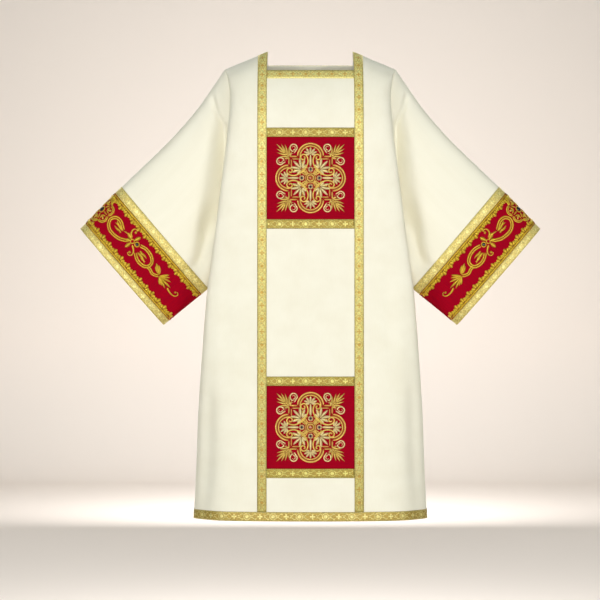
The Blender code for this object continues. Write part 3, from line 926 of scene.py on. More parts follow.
def fan(x, y, angle, sizes, spread, width, thread="pale"):
    """Leaves that spread from one place, the longest in the middle, and curve outwards."""
    drawing = veined(x, y, angle, sizes[0], width, 0.0, thread, "petal")
    for number, size in enumerate(sizes[1:], 1):
        for hand in (1, -1):
            way = angle + hand * spread * number
            root = np.radians(way)
            x1, y1 = x + 0.1 * size * math.cos(root), y + 0.1 * size * math.sin(root)
            drawing += veined(x1, y1, way, size, width, hand * 14, thread, "petal")
    return drawing


def turned(drawing, angle):
    """A drawing turned about its origin, by degrees."""
    c, s = math.cos(math.radians(angle)), math.sin(math.radians(angle))
    return [(line @ np.array(((c, s, 0), (-s, c, 0), (0, 0, 1))), thread) for line, thread in drawing]


def mirrored(drawing):
    """A drawing and its mirror image across x = 0."""
    return drawing + [(line * (-1, 1, 1), thread) for line, thread in drawing]


def moved(drawing, x, y):
    return [(line + (x, y, 0), thread) for line, thread in drawing]


FRAME_LOBE = 34.0
FRAME_CORNER = 57.0


def quatrefoil(inset, width, thread):
    """A quatrefoil with square corners between its lobes, drawn that far inside its outline."""
    lobe, corner = FRAME_LOBE - inset, FRAME_CORNER - inset
    dip = math.degrees(math.asin(inset / lobe))
    foot = lobe * math.cos(math.radians(dip))
    top = arc(0, FRAME_CORNER, lobe, -dip, 180 + dip, width, count=30)
    angle = curve([(foot, corner), ((foot + corner) / 2, corner), (corner, corner)], width, count=6)
    other = curve([(corner, corner), (corner, (foot + corner) / 2), (corner, foot)], width, count=6)
    quarter = [(top, thread), (angle, thread), (other, thread)]
    return [piece for turn in range(4) for piece in turned(quarter, 90 * turn)]


def medallion():
    """A leafy cross in a barbed quatrefoil, with a sprig and two curls outside each corner."""
    drawing = quatrefoil(0, 2.0, "thread") + quatrefoil(3.6, 0.9, "old") + quatrefoil(6.9, 1.6, "thread")
    volute = [
        (19, 17), (15.4, 24), (10.2, 32), (6.8, 41), (7.0, 50), (10.4, 58.4), (17.2, 62.4), (24.4, 59),
        (25.4, 52.2), (20.6, 48), (15.2, 50.2), (15.4, 55.2), (19.4, 56),
    ]
    arm = mirrored(
        outlined(curve(volute, 1.9, "even", 40))
        + outlined(leaf(19.6, 36.6, 90, 7.8, 3.9, 0.0, 9, "oval"))
        + outlined(curve([(19.2, 37.5), (17.8, 33), (15.4, 29), (12.5, 25.5)], 1.3, "even", 8))
        + outlined(curve([(7, 29), (10, 27), (15, 26), (22, 21)], 1.2, "even", 10))
    )
    arm += veined(0, 29, 90, 36, 4.2)
    arm += fan(0, 61, 90, (21.5, 20, 18, 14), 28, 3.3)
    # The setting of the small stone: a lozenge of four short bars
    for s in (1, -1):
        arm += mirrored([(curve([(0, STONE_OUT + s * 6.9), (6.9, STONE_OUT)], 2.3, "even", 5), "pale")])
    diagonal = [
        (arc(0, 0, radius, 90 - half, 90 + half, 1.5, count=9), "thread")
        for radius, half in ((17.0, 27), (21.2, 23), (25.4, 19), (29.6, 14))
    ]
    diagonal += fan(0, 33, 90, (32, 28, 24, 16), 29, 4.2)
    diagonal += mirrored([(curve([(1.5, 13), (5.4, 20), (7.4, 28), (4.0, 36)], 1.3, "stem", 12), "thread")])
    diagonal += veined(0, 12, 90, 25, 2.8, 0.0, "thread")
    sprig = veined(0, 94, 90, 33, 3.1, 0.0, "thread")
    sprig += outlined(curve([(0, 80), (0, 100)], 1.9, "stem", 10))
    for root, way, size in ((93, 68, 26), (86, 55, 28), (81, 41, 24), (78, 22, 15)):
        sprig += mirrored(veined(0.8, root, way, size, 2.8, 8, "thread"))
    loop = [
        (15.5, 76.5), (22, 78.2), (31, 80.6), (34.2, 88), (30.4, 95.2), (22.6, 96.8), (16.4, 92), (15.6, 85),
        (18.4, 80),
    ]
    curl = [(19.4, 84.4), (24, 82.4), (28.8, 86), (27.2, 91.2), (22.8, 90.8)]
    sprig += mirrored(
        outlined(curve(loop, 1.7, "even", 26), "pale", 0.5)
        + [(curve(curl, 1.6, "stem", 14), "pale")]
        + [(curve([(2, 83.5), (9, 81), (15.5, 77)], 1.2, "stem", 8), "pale")]
    )
    for turn in range(4):
        drawing += turned(arm, 90 * turn) + turned(diagonal + sprig, 90 * turn + 45)
    rings = ((8.3, 1.6, "thread"), (11.2, 0.9, "old"), (13.2, 1.0, "thread"))
    drawing += [(arc(0, 0, radius, 0, 360, width, "ring", 28), thread) for radius, width, thread in rings]
    return drawing


STONE_OUT = 23.0
SQUARE_THREADS = ("thread", "pale", "old")
CUFF_THREADS = ("cuff_thread", "cuff_pale", "cuff_old")
# The cuff's small stone, and how far its vine lies from the place in which it is drawn
STONE_X = 141.0
STONE_Y = -10.0
VINE_SHIFT = (5, -2)
CUFF_MIDDLE = 78.0
EDGING_PITCH = 25.4


def double_line(spots, width, apart, count):
    """Two lines of stitching side by side, the outer one on the left of the way that it runs."""
    middle = curve(spots, width, "even", count)
    way = np.gradient(middle[:, :2], axis=0)
    way /= np.linalg.norm(way, axis=1)[:, None]
    shift = np.column_stack((-way[:, 1], way[:, 0], np.zeros(count))) * apart / 2
    return outlined(middle + shift, "thread", 0.5) + outlined(middle - shift, "thread", 0.5)


def cuff_rosette():
    """The half rosette at the top fold: double lobes round a ring, with leaves in each."""
    drawing = []
    for turn in range(-90, 91, 60):
        x1, y1 = 24 * math.cos(math.radians(turn)), 24 * math.sin(math.radians(turn))
        for radius, width in ((14.5, 1.7), (10.8, 1.2)):
            drawing += outlined(arc(x1, y1, radius, turn - 84, turn + 84, width, count=20), "thread", 0.5)
        drawing += veined(x1 * 0.8, y1 * 0.8, turn, 13, 2.9, 0.0, "pale", "petal")
        for hand in (1, -1):
            drawing += outlined(leaf(x1 * 0.72, y1 * 0.72, turn + hand * 38, 12, 2.6, hand * 20))
    for turn in range(-60, 61, 60):
        way = math.radians(turn)
        drawing += outlined(leaf(11 * math.cos(way), 11 * math.sin(way), turn, 16, 2.4))
    return drawing + [(arc(0, 0, 9.0, -90, 90, 1.8, count=14), "thread")]


FLOWER = (121.5, -4.0)


def cuff_vine():
    """Two hooked scrolls beside a flower, each round a curled leaf, then a bud, a palmette and a tendril."""
    upper = [
        (113, 2), (104, 10), (88, 19), (62, 22.5), (45, 16), (37, 2), (44, -11.5), (59, -15.6), (74, -10),
        (84, -5),
    ]
    lower = [
        (143, -12), (160, -18), (180, -17.5), (196, -9), (200, 3), (195, 13), (183, 18.5), (168, 18.5),
        (156, 14), (149, 8),
    ]
    drawing = double_line(upper, 1.8, 5.4, 44) + double_line(lower, 1.8, 5.4, 44)
    # The curled leaves: root, way, size, width and bend
    for x, y, way, size, width, bend in (
        (86, -4, 168, 36, 4.4, 40), (80, 2, 150, 24, 3.4, 44), (72, -4, 196, 20, 3.2, -40),
        (84, 4, 172, 14, 2.8, 30), (152, 5, -14, 36, 4.4, 40), (158, 0, -30, 24, 3.4, 44),
        (166, 6, 20, 20, 3.2, -40), (154, -3, -2, 14, 2.8, 30),
    ):
        drawing += veined(x, y, way, size, width, bend, "thread")
    x, y = FLOWER
    drawing += outlined(curve([(86, -5), (98, -8), (110, -5)], 1.4, "even", 10))
    for way, size in ((196, 21), (-72, 21), (96, 21), (150, 14)):
        root = math.radians(way)
        x1, y1 = x + 4.5 * math.cos(root), y + 4.5 * math.sin(root)
        drawing += veined(x1, y1, way, size, 5.8, 0.0, "thread", "petal")
    drawing.append((arc(x, y, 5.4, 0, 360, 1.5, "ring", 16), "thread"))
    hooks = (
        [(-8, -6), (-17, -11), (-21, -19), (-19, -27), (-12, -28.5), (-11, -22)],
        [(7, 7), (16, 11), (23.5, 18), (25, 26), (19, 31.5), (13, 29), (15.5, 24)],
    )
    for spots in hooks:
        drawing += outlined(curve([(x + dx, y + dy) for dx, dy in spots], 2.6, "stem", 20))
        bulb_x, bulb_y = spots[-1]
        drawing += outlined(leaf(x + bulb_x - 3, y + bulb_y, 0, 7, 3.6, 0.0, 9, "oval"))
    drawing += double_line([(197, 10), (208, 9), (220, 12), (230, 8), (237, 2)], 1.7, 4.8, 20)
    bud = ((-155, 32, 4.4, 0), (-126, 26, 3.4, -34), (-184, 26, 3.4, 34), (-155, 18, 2.0, 0))
    for way, size, width, bend in bud:
        drawing += veined(236, -1, way, size, width, bend, "thread", "petal")
    for way, size in ((-2, 45), (-20, 37), (15, 38), (-50, 28), (37, 24), (-36, 30), (26, 28)):
        drawing += veined(237, 2, way, size, 3.3, way * 0.1, "thread", "petal")
    tendril = [(276, 7), (286, 9.4), (297, 9.6), (307, 6), (309.6, -1.6), (304, -5.6), (300, -2)]
    drawing += outlined(leaf(298, -4, 60, 6, 3.0, 0.0, 9, "oval"))
    return drawing + outlined(curve(tendril, 2.4, "stem", 26))


def cuff_drawing():
    """The embroidery of one face of a cuff: x down from the rosette's middle, y across the band."""
    setting = (arc(STONE_X, STONE_Y, 6.2, 0, 360, 1.5, "ring", 16), "thread")
    return moved(cuff_rosette() + moved(cuff_vine(), *VINE_SHIFT) + [setting], 0, CUFF_MIDDLE)


# One scallop's ovals: how far each leans from the middle, starts from the edge's middle, and how long it is
SCALLOP = ((0, 7.0, 14.0), (34, 7.0, 12.0), (-34, 7.0, 12.0))
BEAD_IN = 11.0


def edging(start, end):
    """Scallops of lace stitch along both edges of the cuff's red band, and the beads' places between them."""
    drawing, beads = [], []
    for edge, way in ((INNER_GALLOON_WIDTH, 1), (RED_END, -1)):
        for x in np.arange(start + EDGING_PITCH / 2, end - EDGING_PITCH / 3, EDGING_PITCH):
            base = np.array([(x + dx, edge + way * 3.4, 3.2) for dx in (-12.7, 0, 12.7)])
            drawing.append((base, "thread"))
            between = leaf(x - EDGING_PITCH / 2, edge + way * 5, way * 90, 8, 4.4, 0.0, 7, "oval")
            drawing.append((between, "thread"))
            for lean, out, size in SCALLOP:
                turn = way * (90 - lean)
                x1 = x + out * math.cos(math.radians(turn))
                y1 = edge + out * math.sin(math.radians(turn))
                drawing += outlined(leaf(x1, y1, turn, size, 5.4, 0.0, 9, "oval"), "thread", 0.6)
                drawing.append((leaf(x1, y1, turn, size * 0.6, 0.9, 0.0, 4), "vein"))
            for radius in (3.6, 7.6):
                line = arc(x, 0, radius, 180, 0, 1.2, count=7)
                line[:, 1] = edge + way * (0.6 + abs(line[:, 1]))
                drawing.append((line, "vein"))
            beads.append((x - EDGING_PITCH / 2, edge + way * BEAD_IN))
    return drawing, beads


def square_ground(panel, which):
    """Where a drawing lies on a red square: x from its middle and y up from its middle."""
    surface, (start, end) = Look.surfaces[panel], SQUARES[which]
    return lambda x, y, out: surface.at(x / CLAVUS_OUTER, (start + end) / 2 - y, out)


# The rosette lies this far in front of the cuff's top fold, as the worn sleeve has turned
ROSETTE_FORWARD = 23.0


def cuff_ground(hand, face):
    """Where a drawing lies on a face of a cuff: x down from the rosette's middle and y across the band.
    Gives the ground, and how far it is from there to the lower fold."""
    surface = Look.surfaces[f"sleeve_{hand}"]
    row = int(np.argmin(abs(surface.vs - 1.5)))
    half = len(surface.us) // 2 + 1
    ring = surface.points[:half, row] if face == FRONT else surface.points[::-1][:half, row]
    far = distances(ring)
    turns = surface.us[:half] if face == FRONT else surface.us[::-1][:half]
    shift = ROSETTE_FORWARD if face == FRONT else -ROSETTE_FORWARD

    def ground(x, y, out):
        # Past the fold the place is on the other face
        past = np.asarray(x) + shift
        around = np.interp(np.abs(past), far, turns)
        around = np.where(past < 0, 2 - around, around)
        return surface.at(around, 1 + np.asarray(y) / CUFF_BAND_WIDTH, out)

    return ground, far[-1] - shift


def add_stroke(bm, ground, line, thread, height, ring):
    """Lays one line of stitching on its ground, rounded on top and closed all round."""
    closed = np.hypot(*(line[0, :2] - line[-1, :2])) < 1e-6
    way = np.gradient(line[:, :2], axis=0)
    if closed:
        way[0] = way[-1] = way[0] + way[-1]
    way /= np.maximum(np.linalg.norm(way, axis=1), 1e-9)[:, None]
    shape = np.array(ring)
    width = line[:, 2][:, None]
    x = line[:, 0][:, None] - way[:, 1][:, None] * width * shape[:, 0]
    y = line[:, 1][:, None] + way[:, 0][:, None] * width * shape[:, 0]
    rise = RISES[thread] * np.minimum(height, STEEPEST * width) * shape[:, 1]
    spots = ground(x, y, rise + BEAD_SEAT - STITCH_SUNK)
    far = distances(line[:, :2])
    for face in map_grid(bm, spots, lambda i, j: (shape[j, 0] * line[i, 2], far[i]))[0]:
        face.material_index = THREADS[thread]


LINES_AT_ONCE = 40


def make_stitching(name, grounds, height, threads):
    """Embroidery in one piece, from drawings and the ground that each lies on. It is made a few lines at a
    time, as a step on a mesh takes longer the larger the mesh is."""
    whole, part = bmesh.new(), bpy.data.meshes.new("part")
    strokes = [(ground, line, thread) for ground, drawing in grounds for line, thread in drawing]
    for start in range(0, len(strokes), LINES_AT_ONCE):
        bm = bmesh.new()
        for ground, line, thread in strokes[start : start + LINES_AT_ONCE]:
            add_stroke(bm, ground, line, thread, height, ARCH if len(line) > 9 else RIDGE)
        bmesh.ops.remove_doubles(bm, verts=bm.verts, dist=0.002)
        bmesh.ops.dissolve_degenerate(bm, edges=bm.edges, dist=0.001)
        bmesh.ops.recalc_face_normals(bm, faces=bm.faces)
        bm.to_mesh(part)
        bm.free()
        whole.from_mesh(part)
    bpy.data.meshes.remove(part)
    obj = new_object(name, whole, [Look.materials[thread] for thread in threads])
    settle(obj, "gold_embroidery")


STITCH_LENGTH = 3.2
STITCH_PITCH = 5.0
STITCH_WIDTH = 0.35
STITCH_IN = 1.3


def stitch_row(panel, us, vs, across):
    """Running stitches along a path on a panel, as their ground and drawing. across is how far one
    millimetre beside the path is in u and v."""
    surface = Look.surfaces[panel]
    us, vs = np.broadcast_arrays(np.asarray(us, float), np.asarray(vs, float))
    far = distances(surface.at(us, vs))

    def ground(x, y, out):
        u, v = (np.interp(x, far, path) + y * beside for path, beside in zip((us, vs), across))
        return surface.at(u, v, out)

    starts = np.arange(STITCH_PITCH / 2, far[-1] - STITCH_LENGTH, STITCH_PITCH)
    shape = np.array([(0, 0, 0.1), (STITCH_LENGTH / 2, 0, STITCH_WIDTH), (STITCH_LENGTH, 0, 0.1)])
    return ground, [(shape + (x, 0, 0), "pale") for x in starts]


def add_round(bm, ground, x, y, radius, rise, segments, rings):
    """Sets a bead or stone on its ground, rise being half its height."""
    places = ((x, y), (x + 1, y), (x, y + 1))
    here, beside, above = (Vector(ground(*np.array(place, float), BEAD_SEAT)) for place in places)
    along, up = (beside - here).normalized(), (above - here).normalized()
    out = along.cross(up).normalized()
    if out.dot(Vector(ground(np.float64(x), np.float64(y), BEAD_SEAT + 1)) - here) < 0:
        out = -out
    across = out.cross(along)
    matrix = Matrix((along * radius, across * radius, out * rise)).transposed().to_4x4()
    matrix.translation = here
    bmesh.ops.create_uvsphere(bm, u_segments=segments, v_segments=rings, radius=1, matrix=matrix)


def make_rounds(name, slot, material, places, segments, rings):
    """Beads or stones in one piece. Each place is its ground, x, y, radius and half height."""
    bm = bmesh.new()
    for ground, x, y, radius, rise in places:
        add_round(bm, ground, x, y, radius, rise, segments, rings)
    bmesh.ops.recalc_face_normals(bm, faces=bm.faces)
    settle(new_object(name, bm, [Look.materials[material]]), slot)


def colour(name, description, code):
    """A colour that the user may change, with its sRGB hex code."""
    settings = {"subtype": "COLOR", "size": 3, "min": 0, "max": 1}
    return FloatVectorProperty(name=name, description=description, default=linear(code), **settings)


class DalmaticCloth(bpy.types.PropertyGroup):
    """What the cloth looks like."""

    cream: colour("Cream", "Colour of the cloth", "F7F3E1")
    cream_shade: colour("Cream shade", "Colour where the cloth clouds", "F2EDD9")
    red: colour("Red", "Colour of the panels and cuff bands", "A3001A")
    red_shade: colour("Red shade", "Colour of the panels' darker yarn", "92001E")


class DalmaticGold(bpy.types.PropertyGroup):
    """What the galloons, embroidery and stones look like."""

    # The galloon's colours where it runs down and where it runs across are painted light and shade: one
    # braid, made lighter or darker by how it lies to the light.
    deep: colour("Upright figure", "Colour of the figures where the galloon runs down", "D9AF4E")
    pale: colour("Upright ground", "Colour of the ground where the galloon runs down", "EAE08E")
    figure: colour("Level figure", "Colour of the figures where the galloon runs across", "D9CD78")
    ground: colour("Level ground", "Colour of the ground where the galloon runs across", "AB913D")
    cuff_figure: colour("Cuff figure", "Colour of the figures of the cuffs' galloon", "F8EC9E")
    cuff_ground: colour("Cuff ground", "Colour of the ground of the cuffs' galloon", "E6D078")
    thread: colour("Gold thread", "Colour of the main embroidery thread", "EBC962")
    pale_thread: colour("Pale thread", "Colour of the leaves' thread", "F2DFA0")
    old_thread: colour("Old gold thread", "Colour of the inner outlines' thread", "A8702C")
    cuff_thread: colour("Cuff thread", "Colour of the cuffs' embroidery thread", "E2BC34")
    cuff_pale: colour("Pale cuff thread", "Colour of the lighter thread on the cuffs", "EDD058")
    cuff_old: colour("Old cuff thread", "Colour of the outlines' thread on the cuffs", "A8781E")
    bead: colour("Bead", "Colour of the cuffs' beads", "F4E04E")
    amber: colour("Amber stone", "Colour of the squares' middle stones", "A8500F")
    dark: colour("Dark stone", "Colour of the small stones", "1A120E")
    height: FloatProperty(
        name="Stitch height", description="How far the embroidery stands out", subtype="DISTANCE",
        unit="LENGTH", default=0.0012, min=0.0002, max=0.003,
    )


class DalmaticStage(bpy.types.PropertyGroup):
    """The studio."""

    paper: colour("Paper", "Colour of the background paper", "F0E5DC")
    lens: FloatProperty(
        name="Lens", description="Focal length of the camera, in millimetres", default=145.0, min=10,
        max=400,
    )
    distance: FloatProperty(
        name="Distance", description="How far the camera stands from the garment's middle plane",
        subtype="DISTANCE", unit="LENGTH", default=6.5, min=1, max=30,
    )
    light: FloatProperty(
        name="Light", description="Power of the main soft light", subtype="POWER", unit="POWER",
        default=228.0, min=0, max=5000,
    )


# Painted light and shade: what each galloon's colour is times at the level of the hem, as linear red, green
# and blue
DOWN_LOW_PAINTED_LIGHT = (0.59, 0.57, 0.45)
ACROSS_LOW_PAINTED_LIGHT = (0.88, 0.90, 0.74)
HEM_LOW_PAINTED_LIGHT = (1.12, 1.12, 1.35)
CUFF_LOW_PAINTED_SHADE = (0.62, 0.60, 0.50)


class DALMATIC_OT_materials(bpy.types.Operator):
    """Works out the cloth's surface and makes the materials that the pieces share"""

    bl_idname = "dalmatic.materials"
    bl_label = "Surface and materials"

    def execute(self, context):
        cloth, gold = context.scene.dalmatic_cloth, context.scene.dalmatic_gold
        Look.surfaces = make_surfaces()
        Look.materials = {
            "cream": cream_wool_crepe(cloth.cream, cloth.cream_shade),
            "red": red_silk_cloth(cloth.red, cloth.red_shade),
        }
        # Copies of one braid whose colours and low tones are painted light and shade, for how each lies to
        # the light and how low it hangs.
        for key, name, figure, ground, low_tone in (
            ("galloon", "gold_galloon_down", gold.deep, gold.pale, DOWN_LOW_PAINTED_LIGHT),
            ("galloon_across", "gold_galloon_across", gold.figure, gold.ground, ACROSS_LOW_PAINTED_LIGHT),
            ("galloon_hem", "gold_galloon_hem", gold.figure, gold.ground, HEM_LOW_PAINTED_LIGHT),
            ("galloon_cuff", "gold_galloon_cuff", gold.cuff_figure, gold.cuff_ground, CUFF_LOW_PAINTED_SHADE),
        ):
            Look.materials[key] = gold_jacquard_galloon(name, figure, ground, low_tone)
        for key, name, color in (
            ("thread", "gold_thread", gold.thread),
            ("pale", "pale_gold_thread", gold.pale_thread),
            ("old", "old_gold_thread", gold.old_thread),
            ("cuff_thread", "yellow_gold_thread", gold.cuff_thread),
            ("cuff_pale", "light_yellow_gold_thread", gold.cuff_pale),
            ("cuff_old", "brown_gold_thread", gold.cuff_old),
            ("bead", "gold_bead", gold.bead),
        ):
            Look.materials[key] = gold_thread(name, color)
        Look.materials["amber"] = cut_glass("amber_glass", gold.amber)
        Look.materials["dark"] = cut_glass("smoke_glass", gold.dark)
        return {"FINISHED"}


class DALMATIC_OT_cloth(bpy.types.Operator):
    """Makes the front, the back and the two wide sleeves"""

    bl_idname = "dalmatic.cloth"
    bl_label = "Front, back and sleeves"

    def execute(self, context):
        for node in ("front", "back", "sleeve_left", "sleeve_right"):
            make_cloth(node)
        return {"FINISHED"}


def middle_columns():
    """Columns from one clavus to the other."""
    return spaced(-CLAVUS_INNER, CLAVUS_INNER, COLUMN_STEP)


def round_cuff(hand, start, end):
    """A stretch all round a cuff, from one distance past the band's start to another."""
    panel = f"sleeve_{hand}"
    levels = 1 + spaced(start, end, GRAIN_STEP) / CUFF_BAND_WIDTH
    return Stretch(panel, Look.surfaces[panel].us, levels, False)


class DALMATIC_OT_galloons(bpy.types.Operator):
    """Makes the gold galloons: two clavi, the bars between them, the neck, the hem and the cuffs"""

    bl_idname = "dalmatic.galloons"
    bl_label = "Galloons"

    def execute(self, context):
        for hand, side in SIDES.items():
            us = [side * u for u in spaced(CLAVUS_INNER, 1, CLAVUS_STEP)]
            stretches = []
            for panel in ("back", "front"):
                vs = part_of(Look.surfaces[panel].vs, 0, HEM_GALLOON)
                stretches.append(Stretch(panel, us, vs[::-1] if panel == "back" else vs, True))
            name, node = f"galloon_clavus_{hand}", f"clavus_galloon_{hand}"
            make_strip(name, node, "gold_galloon", "galloon", stretches)
        for panel in NECKS:
            bars = {f"neck_galloon_{panel}": NECKS[panel]}
            bars.update({f"bar_galloon_{panel}_{n}": bar for n, bar in enumerate(BARS, 1)})
            for node, (start, end) in bars.items():
                stretch = Stretch(panel, middle_columns(), spaced(start, end, GRAIN_STEP), False)
                kind = "galloon" if node.startswith("neck") else "galloon_across"
                make_strip("galloon_" + node.replace("_galloon", ""), node, "gold_galloon", kind, [stretch])
        levels = spaced(HEM_GALLOON, HEM, GRAIN_STEP)
        hem = [
            Stretch("front", Look.surfaces["front"].us, levels, False),
            Stretch("back", Look.surfaces["back"].us[::-1], levels, False),
        ]
        make_strip("galloon_hem", "hem_galloon", "gold_galloon", "galloon_hem", hem)
        for hand in SIDES:
            for which, start, end in (("inner", 0, INNER_GALLOON_WIDTH), ("edge", RED_END, CUFF_BAND_WIDTH)):
                name, node = f"galloon_cuff_{which}_{hand}", f"cuff_galloon_{which}_{hand}"
                make_strip(name, node, "gold_galloon", "galloon_cuff", [round_cuff(hand, start, end)])
        return {"FINISHED"}


class DALMATIC_OT_red_panels(bpy.types.Operator):
    """Makes the red squares on the front and back and the red bands of the cuffs"""

    bl_idname = "dalmatic.red_panels"
    bl_label = "Red panels"

    def execute(self, context):
        for panel in ("front", "back"):
            for which, (start, end) in SQUARES.items():
                stretch = Stretch(panel, middle_columns(), spaced(start, end, GRAIN_STEP), True)
                name, node = f"red_square_{panel}_{which}", f"square_{panel}_{which}"
                make_strip(name, node, "red_cloth", "red", [stretch])
        for hand in SIDES:
            band = [round_cuff(hand, INNER_GALLOON_WIDTH, RED_END)]
            make_strip(f"red_cuff_{hand}", f"cuff_band_{hand}", "red_cloth", "red", band)
        return {"FINISHED"}


# The radius and half height of the stones and beads, in millimetres
AMBER_SIZE = (6.9, 3.6)
DARK_SIZE = (3.4, 2.2)
BEAD_SIZE = (2.8, 2.8)
VINE_STONE_SIZE = (4.8, 3.2)
ROSETTE_STONE_SIZE = (6.4, 3.6)


class DALMATIC_OT_medallions(bpy.types.Operator):
    """Embroiders the four red squares"""

    bl_idname = "dalmatic.medallions"
    bl_label = "Medallions"

    def execute(self, context):
        height = context.scene.dalmatic_gold.height / MM
        drawing = medallion()
        small = [(STONE_OUT * x, STONE_OUT * y) for x, y in ((1, 0), (-1, 0), (0, 1), (0, -1))]
        for panel in ("front", "back"):
            for which in SQUARES:
                ground, place = square_ground(panel, which), f"{panel}_{which}"
                make_stitching(f"embroidery_{place}", [(ground, drawing)], height, SQUARE_THREADS)
                amber = [(ground, 0, 0, *AMBER_SIZE)]
                make_rounds(f"stone_amber_{place}", "stone", "amber", amber, 24, 12)
                dark = [(ground, x, y, *DARK_SIZE) for x, y in small]
                make_rounds(f"stones_dark_{place}", "stone", "dark", dark, 14, 8)
        return {"FINISHED"}


class DALMATIC_OT_cuff_embroidery(bpy.types.Operator):
    """Embroiders the red bands of the cuffs"""

    bl_idname = "dalmatic.cuff_embroidery"
    bl_label = "Cuff embroidery"

    def execute(self, context):
        height = context.scene.dalmatic_gold.height / MM
        for hand in SIDES:
            grounds, beads, stones = [], [], []
            for face in (FRONT, BACK):
                ground, end = cuff_ground(hand, face)
                border, bead_places = edging(0, end)
                grounds += [(ground, cuff_drawing()), (ground, border)]
                beads += [(ground, x, y, *BEAD_SIZE) for x, y in bead_places]
                stones.append((ground, STONE_X, CUFF_MIDDLE + STONE_Y, *VINE_STONE_SIZE))
            stones.append((cuff_ground(hand, FRONT)[0], 0, CUFF_MIDDLE, *ROSETTE_STONE_SIZE))
            make_stitching(f"embroidery_cuff_{hand}", grounds, height, CUFF_THREADS)
            make_rounds(f"beads_cuff_{hand}", "gold_embroidery", "bead", beads, 8, 5)
            make_rounds(f"stones_cuff_{hand}", "stone", "dark", stones, 16, 10)
        return {"FINISHED"}


class DALMATIC_OT_sewing(bpy.types.Operator):
    """Sews the galloons down with a row of stitches along each edge"""

    bl_idname = "dalmatic.sewing"
    bl_label = "Sewing"

    def execute(self, context):
        inset = STITCH_IN / CLAVUS_OUTER
        for panel in NECKS:
            surface = Look.surfaces[panel]
            down = part_of(surface.vs, STITCH_IN, HEM_GALLOON)
            rows = [
                stitch_row(panel, side * u, down, (1 / CLAVUS_OUTER, 0))
                for side in SIDES.values()
                for u in (CLAVUS_INNER + inset, 1 - inset)
            ]
            strips = [(middle_columns(), *bar) for bar in [NECKS[panel], *BARS]]
            for us, start, end in [*strips, (surface.us, HEM_GALLOON, HEM)]:
                rows += [stitch_row(panel, us, v, (0, 1)) for v in (start + STITCH_IN, end - STITCH_IN)]
            make_stitching(f"stitches_{panel}", rows, STITCH_WIDTH, SQUARE_THREADS)
        edges = (0, INNER_GALLOON_WIDTH), (RED_END, CUFF_BAND_WIDTH)
        inside = [far for start, end in edges for far in (start + STITCH_IN, end - STITCH_IN)]
        for hand in SIDES:
            panel = f"sleeve_{hand}"
            turns = Look.surfaces[panel].us
            across = (0, 1 / CUFF_BAND_WIDTH)
            rows = [stitch_row(panel, turns, 1 + far / CUFF_BAND_WIDTH, across) for far in inside]
            make_stitching(f"stitches_sleeve_{hand}", rows, STITCH_WIDTH, SQUARE_THREADS)
        return {"FINISHED"}


# Each sheet of cloth as it was cut: its width and length in metres, its area where it isn't a rectangle, and
# how the cloth is held. The clavi run over the shoulder from hem to hem, and the cuffs' strips all round.
Cut = namedtuple("Cut", "width length area held")
CUTS = {
    "cloth_front": Cut(0.815, 1.305, 0.861, "hung"),
    "cloth_back": Cut(0.81, 1.29, 0.846, "hung"),
    "cloth_sleeve": Cut(1.18, 0.58, 0.311, "hung"),
    "galloon_clavus": Cut(0.0245, 2.543, None, "draped"),
    "galloon_neck_front": Cut(0.231, 0.0286, None, "laid"),
    "galloon_neck_back": Cut(0.231, 0.0327, None, "laid"),
    "galloon_bar": Cut(0.231, 0.0247, None, "laid"),
    "galloon_hem": Cut(0.0245, 1.63, None, "laid"),
    "galloon_cuff_inner": Cut(0.024, 0.792, None, "laid"),
    "galloon_cuff_edge": Cut(0.02, 0.772, None, "laid"),
    "red_square": Cut(0.231, 0.217, None, "laid"),
    "red_cuff": Cut(0.112, 0.784, None, "laid"),
}


def is_on(name, sheet):
    """Whether a piece is sewn on a sheet of cloth."""
    kind, _, place = sheet.partition("_")
    if kind == "red":
        place = place.replace("square_", "")
        return name.endswith("_" + place) and name.startswith(("embroidery", "stone", "bead"))
    if kind != "cloth" or name.startswith("cloth"):
        return False
    if "sleeve" in place:
        return "cuff" in name and name.endswith(place.rpartition("_")[2]) or place in name
    return f"_{place}" in name or place == "front" and name.startswith(("galloon_clavus", "galloon_hem"))


def shown_pieces():
    return [obj for obj in bpy.context.scene.objects if obj.type == "MESH" and not obj.hide_render]


def pieces_on(sheet):
    """The names of what is sewn on a sheet of cloth."""
    return [obj.name for obj in shown_pieces() if is_on(obj.name, sheet)]


class DALMATIC_OT_cloth_sheets(bpy.types.Operator):
    """Works out, for each cut piece of cloth, what it lies on and what is sewn on it, and keeps none of it"""

    bl_idname = "dalmatic.cloth_sheets"
    bl_label = "Cuts of cloth"

    def execute(self, context):
        shown = shown_pieces()
        for obj in shown:
            key = next((key for key in CUTS if obj.name.startswith(key)), None)
            if key is None:
                continue
            under = [] if key.startswith("cloth") else [ground_of(obj.name)]
            pieces_on(obj.name)
        return {"FINISHED"}


def ground_of(name):
    """The panel that a strip or patch is sewn on."""
    if "cuff" in name:
        return "cloth_sleeve_" + name.rpartition("_")[2]
    return "cloth_back" if "back" in name else "cloth_front"


class DALMATIC_OT_stage(bpy.types.Operator):
    """Sets up the background paper, the soft lights and the camera"""

    bl_idname = "dalmatic.stage"
    bl_label = "Stage"

    def execute(self, context):
        settings = context.scene.dalmatic_stage
        make_paper(studio_paper(settings.paper))
        make_lights(settings.light)
        make_camera(settings)
        return {"FINISHED"}


PAPER_WIDTH = 24000.0
PAPER_FLOOR = -1800.0
PAPER_WALL = 9500.0
PAPER_FRONT = -9000.0
PAPER_TOP = 4000.0
PAPER_SWEEP = 900.0
CAMERA_X = -0.0277
CAMERA_Z = -0.654
SENSOR_WIDTH = 36.0
CLIP_END = 100.0


